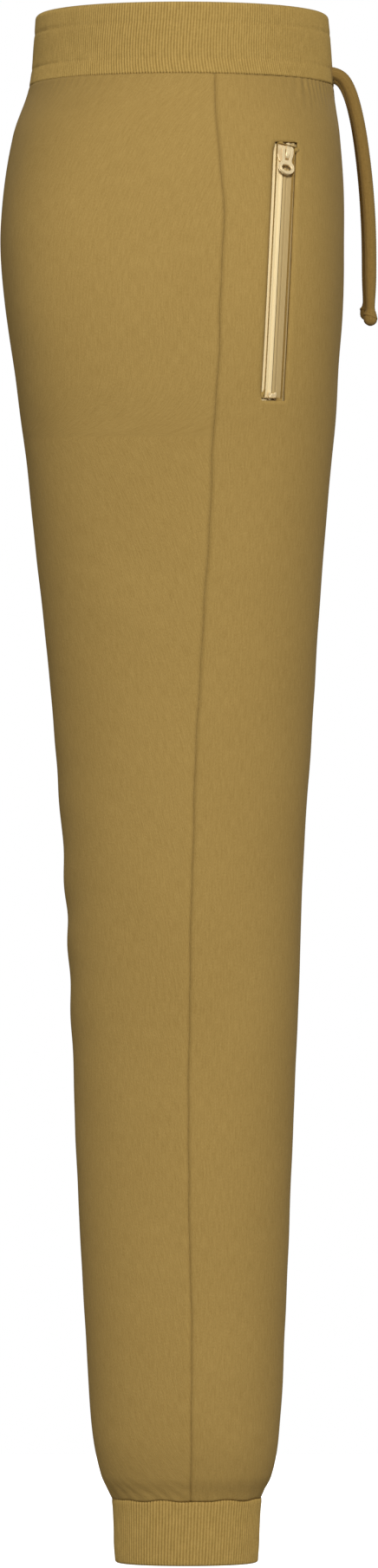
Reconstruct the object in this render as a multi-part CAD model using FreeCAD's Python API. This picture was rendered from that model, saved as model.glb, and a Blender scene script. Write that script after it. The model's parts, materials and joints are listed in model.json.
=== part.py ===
import FreeCAD, Part
import math
import os
from FreeCAD import Vector

# Fleece jogger trousers with a ribbed waistband, a drawcord, zipped side pockets and ribbed cuffs.
# Millimetres. The origin is the centre of the waist opening, +Z is up, the front faces -Y and the
# wearer's right leg is on -X. Right-hand pieces are modelled and the left-hand ones mirror them.

# Cloth
FLEECE = 1.6             # thickness of the body fabric
RIB = 1.4                # thickness of one ply of rib
LINING = 0.4             # thickness of one ply of pocket bag
SEAM_GAP = 0.3           # room between two panels where they are sewn
LAY_CLEARANCE = 0.1      # room between two flat layers that lie on each other

# The size made. Drops are all measured down from the waist's top edge.
OUTSEAM = 1041.0
HIP_WIDTH = 376.0        # across both legs at the crotch
DRAFT_HIP_WIDTH = 376.0  # the hip width that the pattern was drafted for
CROTCH_DROP = 290.0
BAND_HEIGHT = 48.0
CUFF_HEIGHT = 43.0
BLOUSE_HEIGHT = 43.0     # the leg draws in to the cuff over this height
CUFF_SEAM_DROP = OUTSEAM - CUFF_HEIGHT

# Drawcord
CORD_DIAMETER = 8.5
CORD_CHANNEL_ROOM = 2.5  # what the cord's channel is wider than the cord
EYELET_SPREAD = 22.0     # from the centre front to each eyelet
EYELET_RISE = 7.0        # from the waistband's seam up to each eyelet
EYELET_CLEARANCE = 0.35  # between the cord and the eyelet's bore
EYELET_RIM = 1.7
EYELET_THICKNESS = 1.0
KNOT_SWELL = 0.75        # how far the knot stands out round the cord
TAIL_SLACK = 0.85        # how far the frayed tail draws in
TAIL_LENGTH = 4.5

# Waist and cuff make-up
ELASTIC_THICKNESS = 1.8
ELASTIC_EASE = 0.5       # room on each face of the elastic
ELASTIC_TOP_ROOM = 1.0   # room above the elastic, under the waistband's fold
CORD_EASE = 0.3          # room on each face of the flattened cord
CUFF_PLY_ROOM = 0.5      # room between the cuff's two plies
SEAM_TAPE_WIDTH = 6.0    # width of an overlocked seam allowance
SEAM_TAPE_THICKNESS = 1.2
SEAM_TAPE_EASE = 0.7     # room between a panel and the allowance inside it
WAIST_SEAM_EASE = 1.2    # the same below the waistband, where the hip flares

LOWER_STITCH = BAND_HEIGHT - CORD_DIAMETER - CORD_CHANNEL_ROOM
CHANNEL_ROOM = ELASTIC_THICKNESS + 2 * ELASTIC_EASE          # between the waistband's two plies
CORD_FLAT = CHANNEL_ROOM - 2 * CORD_EASE                     # the cord where the channel presses it flat
EYELET_DROP = BAND_HEIGHT - EYELET_RISE
EYELET_BORE = CORD_DIAMETER / 2 + EYELET_CLEARANCE
KNOT_RADIUS = CORD_DIAMETER / 2 + KNOT_SWELL
TAIL_RADIUS = CORD_DIAMETER / 2 - TAIL_SLACK

# Pocket zip
ZIP_BELOW_BAND = 47.0
ZIP_DROP = 170.0         # the zip's height
ZIP_TOP_FRONT = 70.0     # how far forward of the origin the zip starts
ZIP_BOTTOM_FRONT = 61.0
WINDOW_EASE = 0.6        # the window's reach past each end of the chain
WELT_WIDTH = 3.5         # how far the window's facing reaches past the window
WELT_THICKNESS = 0.8
WELT_EASE = 0.7          # room between the facing and the fleece, which curves
TAPE_WIDTH = 13.0        # one half of the zip's tape
TAPE_THICKNESS = 0.6
CHAIN_GAP = 0.3          # room between the two halves of the closed chain
CHAIN_RISE = 1.0         # the coil's reach above the slider's top
COIL_WIDTH = 2.4
COIL_HEIGHT = 1.3
SLIDER_LENGTH = 12.5
SLIDER_WIDTH = 12.0
SLIDER_PLATE = 1.2
SLIDER_CORNER = 1.35     # how far its shoulders are cut back
SLIDER_SHOULDER = 6.9    # where its sides start to narrow
SLIDER_CLEARANCE = 0.25  # between the slider's plates and what runs between them
SLIDER_SIDE_ROOM = 1.0   # between the slider and the window's edge
NECK_LENGTH = 2.4
NECK_WIDTH = 1.4
PIVOT_DOWN = 3.6         # from the slider's top to its pull tab's pivot
BRIDGE_WIDTH = 2.6
BRIDGE_BAR = 0.9
PIVOT_BAR_RADIUS = 0.7
PIVOT_CLEARANCE = 0.25
PULL_WIDTH = 11.0
PULL_ARM = 2.05          # width of each arm beside the bridge
PULL_RIM = 1.8           # width of the ring's metal
PULL_LENGTH = 19.0
PULL_THICKNESS = 1.3
PULL_LIFT = 0.4          # the hanging pull tab stands this far off the fleece
PULL_HOLE_LENGTH = 5.2
STOP_LENGTH = 3.0
STOP_INSET = 1.0         # from the bottom stop to the chain's end
BAG_CLEARANCE = 1.85     # between the slider's back and the pocket bag
BAG_PLY_GAP = 1.0
BAG_ABOVE = 12.0         # the bag's reach above and below the zip
BAG_BELOW = 45.0
BAG_SEAM_TURN = 4.0      # degrees round from the side seam to the bag's back edge
BAG_FRONT_TURN = 84.0
CUT_MARGIN = 1.0         # how far a cutting block reaches past what it cuts

ZIP_TOP_DROP = BAND_HEIGHT + ZIP_BELOW_BAND
ZIP_BOTTOM_DROP = ZIP_TOP_DROP + ZIP_DROP
WINDOW_WIDTH = SLIDER_WIDTH + 2 * SLIDER_SIDE_ROOM
WELT_START = WINDOW_EASE + STOP_LENGTH + WELT_WIDTH          # the welt's and the tape's reach past the chain
TAPE_FACE = -(FLEECE + WELT_EASE + WELT_THICKNESS + LAY_CLEARANCE)
WELT_FACE = TAPE_FACE + LAY_CLEARANCE + WELT_THICKNESS
TAPE_BACK = TAPE_FACE - TAPE_THICKNESS
COIL_BACK = TAPE_BACK - COIL_HEIGHT
PLATE_FACE = TAPE_FACE + SLIDER_CLEARANCE + SLIDER_PLATE     # top of the slider's front plate
PLATE_BACK = COIL_BACK - SLIDER_CLEARANCE                    # inner face of its back plate
BAG_DEPTH = SLIDER_PLATE - PLATE_BACK + BAG_CLEARANCE
PIVOT_OUT = PULL_LIFT + PULL_THICKNESS / 2
PULL_WAIST = BRIDGE_WIDTH + 2 * (PIVOT_CLEARANCE + PULL_ARM)
PULL_HOLE_WIDTH = PULL_WIDTH - 2 * PULL_RIM


def rise_at(share):
    """A drop between the waistband and the crotch."""
    return BAND_HEIGHT + share * (CROTCH_DROP - BAND_HEIGHT)


def leg_at(share):
    """A drop between the crotch and the cuff."""
    return CROTCH_DROP + share * (CUFF_SEAM_DROP - CROTCH_DROP)


# The cutting pattern: one row for each landmark down the right leg, as drop below the waist, how far
# the front and the back stand from the origin, the leg's middle, its reach outward and inward from
# there, how far forward the side seam lies, and the fullness of the oval between its four extremes.
PATTERN = [
    (0.0, 99.0, 98.5, 0.0, 150.0, 150.0, 20.0, 0.04),
    (BAND_HEIGHT, 103.0, 103.0, 0.0, 155.0, 155.0, 22.0, 0.04),
    (rise_at(0.15), 107.0, 114.5, -24.0, 144.0, 158.0, 24.0, 0.14),
    (rise_at(0.40), 109.0, 121.5, -58.0, 124.5, 150.0, 28.0, 0.20),
    (rise_at(0.63), 108.0, 118.0, -78.0, 112.5, 138.0, 26.0, 0.20),
    (rise_at(0.835), 105.0, 111.5, -88.0, 103.0, 112.0, 24.0, 0.17),
    (CROTCH_DROP, 102.0, 106.0, -94.0, 94.0, 94.0, 21.5, 0.12),
    (leg_at(0.113), 95.0, 96.5, -98.0, 86.0, 86.0, 17.5, 0.06),
    (leg_at(0.27), 87.3, 85.4, -100.0, 80.0, 78.0, 10.5, 0.04),
    (leg_at(0.44), 80.3, 77.3, -102.0, 74.0, 72.0, 6.5, 0.03),
    (leg_at(0.665), 74.5, 70.3, -103.0, 67.0, 65.0, 4.5, 0.03),
    (leg_at(0.833), 69.3, 64.8, -104.0, 62.0, 60.0, 6.5, 0.03),
    (CUFF_SEAM_DROP - BLOUSE_HEIGHT, 64.6, 58.8, -104.0, 57.0, 55.0, 6.5, 0.02),
    (CUFF_SEAM_DROP - 0.37 * BLOUSE_HEIGHT, 60.2, 53.4, -104.0, 51.0, 49.5, 6.0, 0.02),
    (CUFF_SEAM_DROP, 53.5, 46.5, -104.0, 44.0, 43.0, 6.0, 0.02),
    (OUTSEAM, 50.8, 44.2, -104.0, 42.5, 41.5, 6.0, 0.02),
]
WIDTH_COLUMNS = (3, 4, 5)

# The drawcord ends, from just outside the eyelet down to the knot
RIGHT_CORD_ROUTE = [
    (-22.0, -107.3, -41.0),
    (-22.4, -113.4, -50.0),
    (-22.0, -118.4, -67.0),
    (-21.0, -122.6, -91.0),
    (-19.8, -126.2, -124.0),
    (-18.8, -128.0, -162.0),
    (-18.4, -127.6, -199.0),
]
LEFT_CORD_ROUTE = [
    (22.0, -107.3, -41.0),
    (22.2, -113.2, -50.2),
    (21.6, -118.0, -67.0),
    (20.4, -121.8, -91.0),
    (19.4, -125.0, -123.0),
    (18.2, -126.4, -159.0),
    (17.6, -125.8, -194.0),
]

HALF_SPACE = 700.0       # larger than the whole garment


# ---- the garment's surface ----

def pattern_at(drop):
    """The pattern's measures at any drop, by a smooth curve through its rows."""
    last = len(PATTERN) - 1
    low = 0
    while low < last - 1 and PATTERN[low + 1][0] < drop:
        low += 1
    high = low + 1

    def slope(row, column):
        before, after = PATTERN[max(row - 1, 0)], PATTERN[min(row + 1, last)]
        return (after[column] - before[column]) / (after[0] - before[0])

    span = PATTERN[high][0] - PATTERN[low][0]
    t = (drop - PATTERN[low][0]) / span
    measures = []
    for column in range(1, len(PATTERN[0])):
        start, end = PATTERN[low][column], PATTERN[high][column]
        rise, fall = slope(low, column) * span, slope(high, column) * span
        drafted = (start * (2 * t ** 3 - 3 * t ** 2 + 1) + rise * (t ** 3 - 2 * t ** 2 + t)
                   + end * (3 * t ** 2 - 2 * t ** 3) + fall * (t ** 3 - t ** 2))
        graded = HIP_WIDTH / DRAFT_HIP_WIDTH if column in WIDTH_COLUMNS else 1.0
        measures.append(drafted * graded)
    return measures


def skin(drop, turn, inset=0.0):
    """A point of the right half: turn 0 is its outer side, 90 its front, 180 its inner side."""
    front, back, middle, outward, inward, _, fullness = pattern_at(drop)
    angle = math.radians(turn)
    across, along = math.cos(angle), math.sin(angle)
    reach = (outward if across > 0 else inward) - inset
    depth = (front + back) / 2 - inset
    x = middle - reach * across * (1 + fullness * along ** 2)
    y = (back - front) / 2 - depth * along * (1 + fullness * across ** 2)
    return Vector(x, y, -drop)


def turn_at(drop, forward):
    """The turn, between the outer side and the front, where the surface is this far forward."""
    low, high = -60.0, 80.0
    for _ in range(40):
        middle = (low + high) / 2
        if -skin(drop, middle).y < forward:
            low = middle
        else:
            high = middle
    return (low + high) / 2


def side_turn(drop):
    return turn_at(drop, pattern_at(drop)[5])


def steps(start, end, count):
    return [start + (end - start) * i / (count - 1) for i in range(count)]


def plate(levels, start, finish, outside, inside, columns=13):
    """A curved plate of the garment between two levels, two turns and two depths."""
    faces = []
    for inset in (outside, inside):
        rows = [[skin(level, turn, inset) for turn in steps(start(level), finish(level), columns)]
                for level in levels]
        surface = Part.BSplineSurface()
        surface.interpolate(rows)
        faces.append(surface.toShape())
    walls = [Part.makeRuledSurface(a, b) for a, b in zip(faces[0].Edges, faces[1].Edges)]
    shell = Part.makeShell(faces + walls)
    shell.sewShape()
    solid = Part.makeSolid(shell)
    if solid.Volume < 0:
        solid.reverse()
    return solid


def front_plate(levels, outside, inside, gap=0.0):
    return plate(levels, lambda d: side_turn(d) + seam_turn(d, gap), lambda d: 180.0 - seam_turn(d, gap),
                 outside, inside)


def back_plate(levels, outside, inside, gap=0.0):
    return plate(levels, lambda d: -180.0 + seam_turn(d, gap), lambda d: side_turn(d) - seam_turn(d, gap),
                 outside, inside)


def seam_turn(drop, gap):
    """Half a gap's width, as a turn about the leg's middle."""
    front, back = pattern_at(drop)[:2]
    return math.degrees(gap / (front + back))


def right_half(shape, gap=0.0):
    """What lies on the right of the centre seam."""
    block = Part.makeBox(HALF_SPACE, 2 * HALF_SPACE, 3 * HALF_SPACE,
                         Vector(-HALF_SPACE - gap / 2, -HALF_SPACE, -2 * HALF_SPACE))
    return shape.common(block)


def mirrored(shape):
    return shape.mirror(Vector(0, 0, 0), Vector(1, 0, 0))


def joined(*shapes):
    return shapes[0].fuse(list(shapes[1:])).removeSplitter()


def closed_wire(points):
    curve = Part.BSplineCurve()
    curve.interpolate(Points=points, PeriodicFlag=True)
    return Part.Wire(curve.toShape())


def leg_section(drop, inset):
    """The whole oval of the right leg."""
    return closed_wire([skin(drop, turn, inset) for turn in steps(-180.0, 180.0, 33)[:-1]])


def waist_section(drop, inset):
    """The whole oval of the waist: the right half and its mirror."""
    right = [skin(drop, turn, inset) for turn in steps(-84.0, 84.0, 17)]
    left = [Vector(-point.x, point.y, point.z) for point in reversed(right)]
    return closed_wire(right + left)


def ring(section, top, bottom, outside, inside):
    """A ring of constant thickness between two levels and two depths."""
    outer, inner = [Part.makeLoft([section(drop, inset) for drop in steps(top, bottom, 4)], True)
                    for inset in (outside, inside)]
    return outer.cut(inner)


# ---- legs ----

LEG_LEVELS = (steps(BAND_HEIGHT + SEAM_GAP, CROTCH_DROP, 14)
              + steps(CROTCH_DROP, CUFF_SEAM_DROP - BLOUSE_HEIGHT, 14)[1:]
              + steps(CUFF_SEAM_DROP - BLOUSE_HEIGHT, CUFF_SEAM_DROP - SEAM_GAP, 5)[1:])


def front_panel(line):
    """The front of one leg, with the zip's window, and thinned where the zip lies against it."""
    panel = right_half(front_plate(LEG_LEVELS, 0.0, FLEECE, SEAM_GAP), SEAM_GAP)
    deep, half = -3 * TAPE_FACE, WINDOW_WIDTH / 2
    welt = half + WELT_WIDTH + LAY_CLEARANCE
    window = line.bar(-half, half, -deep, deep, -WINDOW_EASE, line.length + WINDOW_EASE)
    welt_seat = line.bar(-welt, welt, -deep, WELT_FACE + LAY_CLEARANCE,
                         -WELT_START - LAY_CLEARANCE, line.length + WELT_START + LAY_CLEARANCE)
    tape_reach = CHAIN_GAP / 2 + TAPE_WIDTH + LAY_CLEARANCE
    tape_seat = line.bar(-tape_reach, tape_reach, -deep, TAPE_FACE + LAY_CLEARANCE,
                         -WELT_START - LAY_CLEARANCE, line.length + WELT_START + LAY_CLEARANCE)
    return panel.cut([window, welt_seat, tape_seat])


def back_panel():
    return right_half(back_plate(LEG_LEVELS, 0.0, FLEECE, SEAM_GAP), SEAM_GAP)


def seam_tape(levels, turn):
    """The overlocked allowance inside a lengthwise seam, centred on one turn."""
    def half(drop):
        front, back = pattern_at(drop)[:2]
        return math.degrees(SEAM_TAPE_WIDTH / (front + back))
    depth = FLEECE + SEAM_TAPE_EASE
    return plate(levels, lambda d: turn(d) - half(d), lambda d: turn(d) + half(d),
                 depth, depth + SEAM_TAPE_THICKNESS, 4)


def side_seam():
    top = BAND_HEIGHT + SEAM_TAPE_WIDTH + 2 * LAY_CLEARANCE
    return seam_tape(steps(top, CUFF_SEAM_DROP - SEAM_TAPE_WIDTH - 2 * LAY_CLEARANCE, 24), side_turn)


def inseam():
    top = CROTCH_DROP + 2 * SEAM_TAPE_WIDTH
    return seam_tape(steps(top, CUFF_SEAM_DROP - SEAM_TAPE_WIDTH - 2 * LAY_CLEARANCE, 20), lambda d: 180.0)


def rise_seam(plate_of):
    """The allowance inside the centre seam, down to the crotch."""
    depth = FLEECE + SEAM_TAPE_EASE
    levels = steps(BAND_HEIGHT + SEAM_TAPE_WIDTH + 2 * LAY_CLEARANCE, CROTCH_DROP + SEAM_TAPE_WIDTH, 16)
    layer = plate_of(levels, depth, depth + SEAM_TAPE_THICKNESS, SEAM_TAPE_WIDTH)
    strip = Part.makeBox(SEAM_TAPE_WIDTH / 2, 2 * HALF_SPACE, 2 * HALF_SPACE,
                         Vector(-SEAM_TAPE_WIDTH / 2, -HALF_SPACE, -2 * HALF_SPACE))
    half = layer.common(strip)
    return joined(half, mirrored(half))


def waist_seam():
    depth = FLEECE + WAIST_SEAM_EASE
    top = BAND_HEIGHT + LAY_CLEARANCE
    return ring(waist_section, top, top + SEAM_TAPE_WIDTH, depth, depth + SEAM_TAPE_THICKNESS)


def cuff_seam():
    depth = FLEECE + SEAM_TAPE_EASE
    bottom = CUFF_SEAM_DROP - LAY_CLEARANCE
    return ring(leg_section, bottom - SEAM_TAPE_WIDTH, bottom, depth, depth + SEAM_TAPE_THICKNESS)


def cuff():
    """A rib tube folded in half, with the fold at the hem."""
    wall = ring(leg_section, CUFF_SEAM_DROP, OUTSEAM, 0.0, 2 * RIB + CUFF_PLY_ROOM)
    return wall.cut(ring(leg_section, CUFF_SEAM_DROP - RIB, OUTSEAM - RIB, RIB, RIB + CUFF_PLY_ROOM))


# ---- waist ----

BAND_DEPTH = 2 * RIB + CHANNEL_ROOM


def eyelet_frame():
    """The right eyelet's centre on the waistband and the direction that it faces."""
    low, high = 45.0, 90.0
    for _ in range(40):
        turn = (low + high) / 2
        if -skin(EYELET_DROP, turn).x > EYELET_SPREAD:
            low = turn
        else:
            high = turn
    along = skin(EYELET_DROP, turn + 1) - skin(EYELET_DROP, turn - 1)
    down = skin(EYELET_DROP + 1, turn) - skin(EYELET_DROP - 1, turn)
    facing = down.cross(along)
    facing.normalize()
    return skin(EYELET_DROP, turn), facing


def waistband(eyelet_at, facing):
    """A folded rib band, open at its seam, with a hole for each end of the drawcord."""
    wall = ring(waist_section, 0.0, BAND_HEIGHT, 0.0, BAND_DEPTH)
    room = ring(waist_section, RIB, BAND_HEIGHT + RIB, RIB, RIB + CHANNEL_ROOM)
    hole = Part.makeCylinder(EYELET_BORE, 4 * RIB, eyelet_at - facing * 2 * RIB, facing)
    return wall.cut(room).cut([hole, mirrored(hole)])


def waist_elastic():
    depth = RIB + (CHANNEL_ROOM - ELASTIC_THICKNESS) / 2
    return ring(waist_section, RIB + ELASTIC_TOP_ROOM, LOWER_STITCH, depth, depth + ELASTIC_THICKNESS)


def drawcord_run(eyelet_at):
    """The flattened cord in the channel, round the back from one eyelet to the other."""
    depth = RIB + (CHANNEL_ROOM - CORD_FLAT) / 2
    middle = (LOWER_STITCH + BAND_HEIGHT) / 2
    around = ring(waist_section, middle - CORD_DIAMETER / 2, middle + CORD_DIAMETER / 2,
                  depth, depth + CORD_FLAT)
    opening = 2 * (EYELET_SPREAD - EYELET_BORE)
    front = Part.makeBox(opening, HALF_SPACE, HALF_SPACE, Vector(-opening / 2, -HALF_SPACE, -HALF_SPACE / 2))
    return around.cut(front)


def eyelet(centre, facing):
    rim = Part.makeCylinder(EYELET_BORE + EYELET_RIM, EYELET_THICKNESS, centre + facing * LAY_CLEARANCE, facing)
    bore = Part.makeCylinder(EYELET_BORE, 3 * EYELET_THICKNESS, centre - facing * EYELET_THICKNESS, facing)
    return rim.cut(bore)


# ---- drawcord ends ----

def cord_tube(name, route):
    """Straight runs joined by tangent arcs, each as large as its two runs allow."""
    points = [Vector(*p) for p in route]
    edges, radii, here = [], [], points[0]
    for before, corner, after in zip(points, points[1:], points[2:]):
        back, on = (before - corner), (after - corner)
        setback = 0.45 * min(back.Length, on.Length)
        back.normalize()
        on.normalize()
        half_turn = (math.pi - back.getAngle(on)) / 2
        radius = setback / math.tan(half_turn)
        enter, leave = corner + back * setback, corner + on * setback
        middle = back + on
        middle.normalize()
        crown = corner + middle * (radius / math.cos(half_turn) - radius)
        edges.append(Part.LineSegment(here, enter).toShape())
        edges.append(Part.Arc(enter, crown, leave).toShape())
        radii.append(round(radius, 1))
        here = leave
    edges.append(Part.LineSegment(here, points[-1]).toShape())
    path = Part.Wire(edges)
    heading = points[1] - points[0]
    section = Part.Wire(Part.Circle(points[0], heading, CORD_DIAMETER / 2).toShape())
    tube = path.makePipeShell([section], True, True)
    expected = math.pi * CORD_DIAMETER ** 2 / 4 * path.Length
    print(name, "length", round(path.Length, 1), "radii", radii, "volume ratio", round(tube.Volume / expected, 4))
    return tube


def cord_knot(route):
    """The knot that stops the cord's end, with the short tail below it."""
    end = Vector(*route[-1])
    heading = end - Vector(*route[-2])
    heading.normalize()
    seat = math.sqrt(KNOT_RADIUS ** 2 - (CORD_DIAMETER / 2) ** 2)
    centre = end + heading * seat
    ball = Part.makeSphere(KNOT_RADIUS, centre)
    above = Part.makeCylinder(2 * KNOT_RADIUS, 2 * KNOT_RADIUS, end, heading * -1)
    tail = Part.makeCylinder(TAIL_RADIUS, KNOT_RADIUS + TAIL_LENGTH, centre, heading)
    return joined(ball.cut(above), tail)


# ---- pocket zip ----

class ZipLine:
    """The right zip's line: an arc over the hip, with its tape tilted to lie in the fabric."""

    def __init__(self):
        drops = [ZIP_TOP_DROP, (ZIP_TOP_DROP + ZIP_BOTTOM_DROP) / 2, ZIP_BOTTOM_DROP]
        forward = [ZIP_TOP_FRONT, (ZIP_TOP_FRONT + ZIP_BOTTOM_FRONT) / 2, ZIP_BOTTOM_FRONT]
        turns = [turn_at(d, f) for d, f in zip(drops, forward)]
        top, middle, bottom = [skin(d, t) for d, t in zip(drops, turns)]
        circle = Part.Circle(top, middle, bottom)
        self.centre, self.radius = circle.Center, circle.Radius
        self.spoke = (top - self.centre).normalize()
        self.axis = (top - self.centre).cross(bottom - self.centre).normalize()
        self.length = self.radius * (top - self.centre).getAngle(bottom - self.centre)
        along = skin(drops[1], turns[1] + 1) - skin(drops[1], turns[1] - 1)
        down = skin(drops[1] + 1, turns[1]) - skin(drops[1] - 1, turns[1])
        facing = down.cross(along).normalize()
        spoke = (middle - self.centre).normalize()
        self.tilt = math.atan2(facing.dot(self.axis), facing.dot(spoke))

    def directions(self, station):
        """Down the zip, across it towards the front, and out of the fabric."""
        turn = FreeCAD.Rotation(self.axis, math.degrees(station / self.radius))
        spoke = turn.multVec(self.spoke)
        down = self.axis.cross(spoke)
        out = spoke * math.cos(self.tilt) + self.axis * math.sin(self.tilt)
        across = self.axis * math.cos(self.tilt) - spoke * math.sin(self.tilt)
        return down, across, out

    def point(self, station, across=0.0, out=0.0):
        turn = FreeCAD.Rotation(self.axis, math.degrees(station / self.radius))
        _, side, face = self.directions(station)
        return self.centre + turn.multVec(self.spoke) * self.radius + side * across + face * out

    def bar(self, left, right, low, high, start, end):
        """A bar of constant section that follows the zip between two stations."""
        corners = [(left, low), (right, low), (right, high), (left, high), (left, low)]
        outline = Part.makePolygon([self.point(start, a, b) for a, b in corners])
        return Part.Face(outline).revolve(self.centre, self.axis, math.degrees((end - start) / self.radius))

    def placed(self, shape):
        """A slider piece, drawn with X down the zip, Y across it and Z out, at the top of the chain."""
        middle = SLIDER_LENGTH / 2
        down, across, out = self.directions(middle)
        at = self.point(middle) - down * middle
        moved = shape.copy()
        moved.Placement = FreeCAD.Placement(FreeCAD.Matrix(
            down.x, across.x, out.x, at.x, down.y, across.y, out.y, at.y,
            down.z, across.z, out.z, at.z, 0, 0, 0, 1))
        return moved


def block(down, across, out):
    """A box in the zip's own directions, each given as a pair of limits."""
    size = [high - low for low, high in (down, across, out)]
    return Part.makeBox(size[0], size[1], size[2], Vector(down[0], across[0], out[0]))


def neck_room():
    wide = NECK_WIDTH / 2 + SLIDER_CLEARANCE
    return block((-CUT_MARGIN, NECK_LENGTH + SLIDER_CLEARANCE), (-wide, wide),
                 (COIL_BACK - CUT_MARGIN, TAPE_FACE + CUT_MARGIN))


def tape_half(line, side):
    """One half of the tape, side +1 towards the front and -1 towards the back."""
    near, far = side * CHAIN_GAP / 2, side * (CHAIN_GAP / 2 + TAPE_WIDTH)
    strip = line.bar(min(near, far), max(near, far), TAPE_BACK, TAPE_FACE,
                     -WELT_START, line.length + WELT_START)
    return strip.cut(line.placed(neck_room()))


def coil_half(line, side):
    """One half of the chain's coil, sewn to the back of its tape."""
    near, far = side * CHAIN_GAP / 2, side * (CHAIN_GAP / 2 + COIL_WIDTH)
    chain = line.bar(min(near, far), max(near, far), COIL_BACK, TAPE_BACK - LAY_CLEARANCE / 2,
                     -CHAIN_RISE, line.length - STOP_LENGTH)
    return chain.cut(line.placed(neck_room()))


def window_welt(line):
    """The facing that frames the window, behind the panel and in front of the tape."""
    low, wide, start = TAPE_FACE + LAY_CLEARANCE, WINDOW_WIDTH / 2, WELT_START - WELT_WIDTH
    outer = line.bar(-wide - WELT_WIDTH, wide + WELT_WIDTH, low, WELT_FACE, -WELT_START, line.length + WELT_START)
    return outer.cut(line.bar(-wide, wide, low - CUT_MARGIN, WELT_FACE + CUT_MARGIN, -start, line.length + start))


def top_stops(line):
    stops = []
    for side in (-1, 1):
        near, far = side * (NECK_WIDTH / 2 + SLIDER_CLEARANCE), side * (NECK_WIDTH / 2 + COIL_WIDTH)
        stops.append(line.bar(min(near, far), max(near, far), TAPE_FACE + LAY_CLEARANCE / 2,
                              TAPE_FACE + WELT_THICKNESS, -STOP_LENGTH, -SLIDER_CLEARANCE))
    return Part.makeCompound(stops)


def bottom_stop(line):
    wide = CHAIN_GAP / 2 + COIL_WIDTH
    return line.bar(-wide, wide, TAPE_FACE + LAY_CLEARANCE / 2, TAPE_FACE + WELT_THICKNESS,
                    line.length - STOP_LENGTH - STOP_INSET, line.length - STOP_INSET)


def slider(line):
    """Two plates joined by a neck, with side flanges round the coil and a bridge over the front plate."""
    half, end = SLIDER_WIDTH / 2, SLIDER_LENGTH
    top, foot = half - SLIDER_CORNER, half - 2 * SLIDER_CORNER
    outline = [(0, -top), (SLIDER_CORNER, -half), (SLIDER_SHOULDER, -half), (end, -foot),
               (end, foot), (SLIDER_SHOULDER, half), (SLIDER_CORNER, half), (0, top)]

    def layer(low, high):
        points = [Vector(x, y, low) for x, y in outline + outline[:1]]
        return Part.Face(Part.makePolygon(points)).extrude(Vector(0, 0, high - low))

    front = layer(TAPE_FACE + SLIDER_CLEARANCE, PLATE_FACE)
    back = layer(PLATE_BACK - SLIDER_PLATE, PLATE_BACK)
    channel = COIL_WIDTH + CHAIN_GAP / 2 + SLIDER_CLEARANCE
    flanges = layer(PLATE_BACK - SLIDER_PLATE / 2, TAPE_BACK - SLIDER_CLEARANCE)
    flanges = flanges.cut(block((-CUT_MARGIN, end + CUT_MARGIN), (-channel, channel), (PLATE_BACK, TAPE_BACK)))
    neck = block((0.0, NECK_LENGTH), (-NECK_WIDTH / 2, NECK_WIDTH / 2),
                 (PLATE_BACK - SLIDER_PLATE / 2, PLATE_FACE - SLIDER_PLATE / 2))
    under = PIVOT_OUT + PIVOT_BAR_RADIUS + PIVOT_CLEARANCE
    wide, past = BRIDGE_WIDTH / 2, BRIDGE_WIDTH / 2 + CUT_MARGIN
    arch_start = PIVOT_DOWN - PIVOT_BAR_RADIUS - PIVOT_CLEARANCE - BRIDGE_BAR
    arch_end = end - SLIDER_PLATE
    arch = block((arch_start, arch_end), (-wide, wide), (PLATE_FACE - SLIDER_PLATE / 2, under + BRIDGE_BAR))
    arch = arch.cut(block((arch_start + BRIDGE_BAR, arch_end - BRIDGE_BAR), (-past, past), (PLATE_FACE, under)))
    return line.placed(joined(front, back, flanges, neck, arch))


def pull_tab(line):
    """An eye under the bridge, two arms beside it, and a flat tab that ends in an oval ring."""
    low, high = PIVOT_OUT - PULL_THICKNESS / 2, PIVOT_OUT + PULL_THICKNESS / 2
    arm_in = BRIDGE_WIDTH / 2 + PIVOT_CLEARANCE
    arm_out = PULL_WAIST / 2
    eye = Part.makeCylinder(PIVOT_BAR_RADIUS, 2 * arm_out, Vector(PIVOT_DOWN, -arm_out, PIVOT_OUT), Vector(0, 1, 0))
    slot_end = SLIDER_LENGTH - PIVOT_DOWN + PIVOT_CLEARANCE
    ring_reach = PULL_HOLE_LENGTH / 2 + PULL_RIM
    ring_at = PIVOT_DOWN + PULL_LENGTH - ring_reach

    def oval(width, length, bottom, top):
        centre = Vector(ring_at, 0, bottom)
        curve = Part.Ellipse(centre + Vector(0, width / 2, 0), centre + Vector(length / 2, 0, 0), centre)
        return Part.Face(Part.Wire(curve.toShape())).extrude(Vector(0, 0, top - bottom))

    arms = [block((PIVOT_DOWN, PIVOT_DOWN + slot_end + PULL_RIM), limits, (low, high))
            for limits in ((-arm_out, -arm_in), (arm_in, arm_out))]
    stem = block((PIVOT_DOWN + slot_end, ring_at), (-arm_out, arm_out), (low, high))
    tab = joined(eye, stem, oval(PULL_WIDTH, 2 * ring_reach, low, high), *arms)
    hole = oval(PULL_HOLE_WIDTH, PULL_HOLE_LENGTH, low - PULL_THICKNESS, high + PULL_THICKNESS)
    return line.placed(tab.cut(hole))


def bag_ply(line, depth, windowed):
    """One ply of the pocket bag, hanging behind the zip."""
    levels = steps(ZIP_TOP_DROP - BAG_ABOVE, ZIP_BOTTOM_DROP + BAG_BELOW, 10)
    ply = plate(levels, lambda d: side_turn(d) + BAG_SEAM_TURN, lambda d: BAG_FRONT_TURN, depth, depth + LINING)
    if windowed:
        wide = WINDOW_WIDTH / 2 + CUT_MARGIN
        ply = ply.cut(line.bar(-wide, wide, -3 * BAG_DEPTH, 0.0, 0.0, line.length))
    return ply


# ---- the assembly ----

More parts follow.
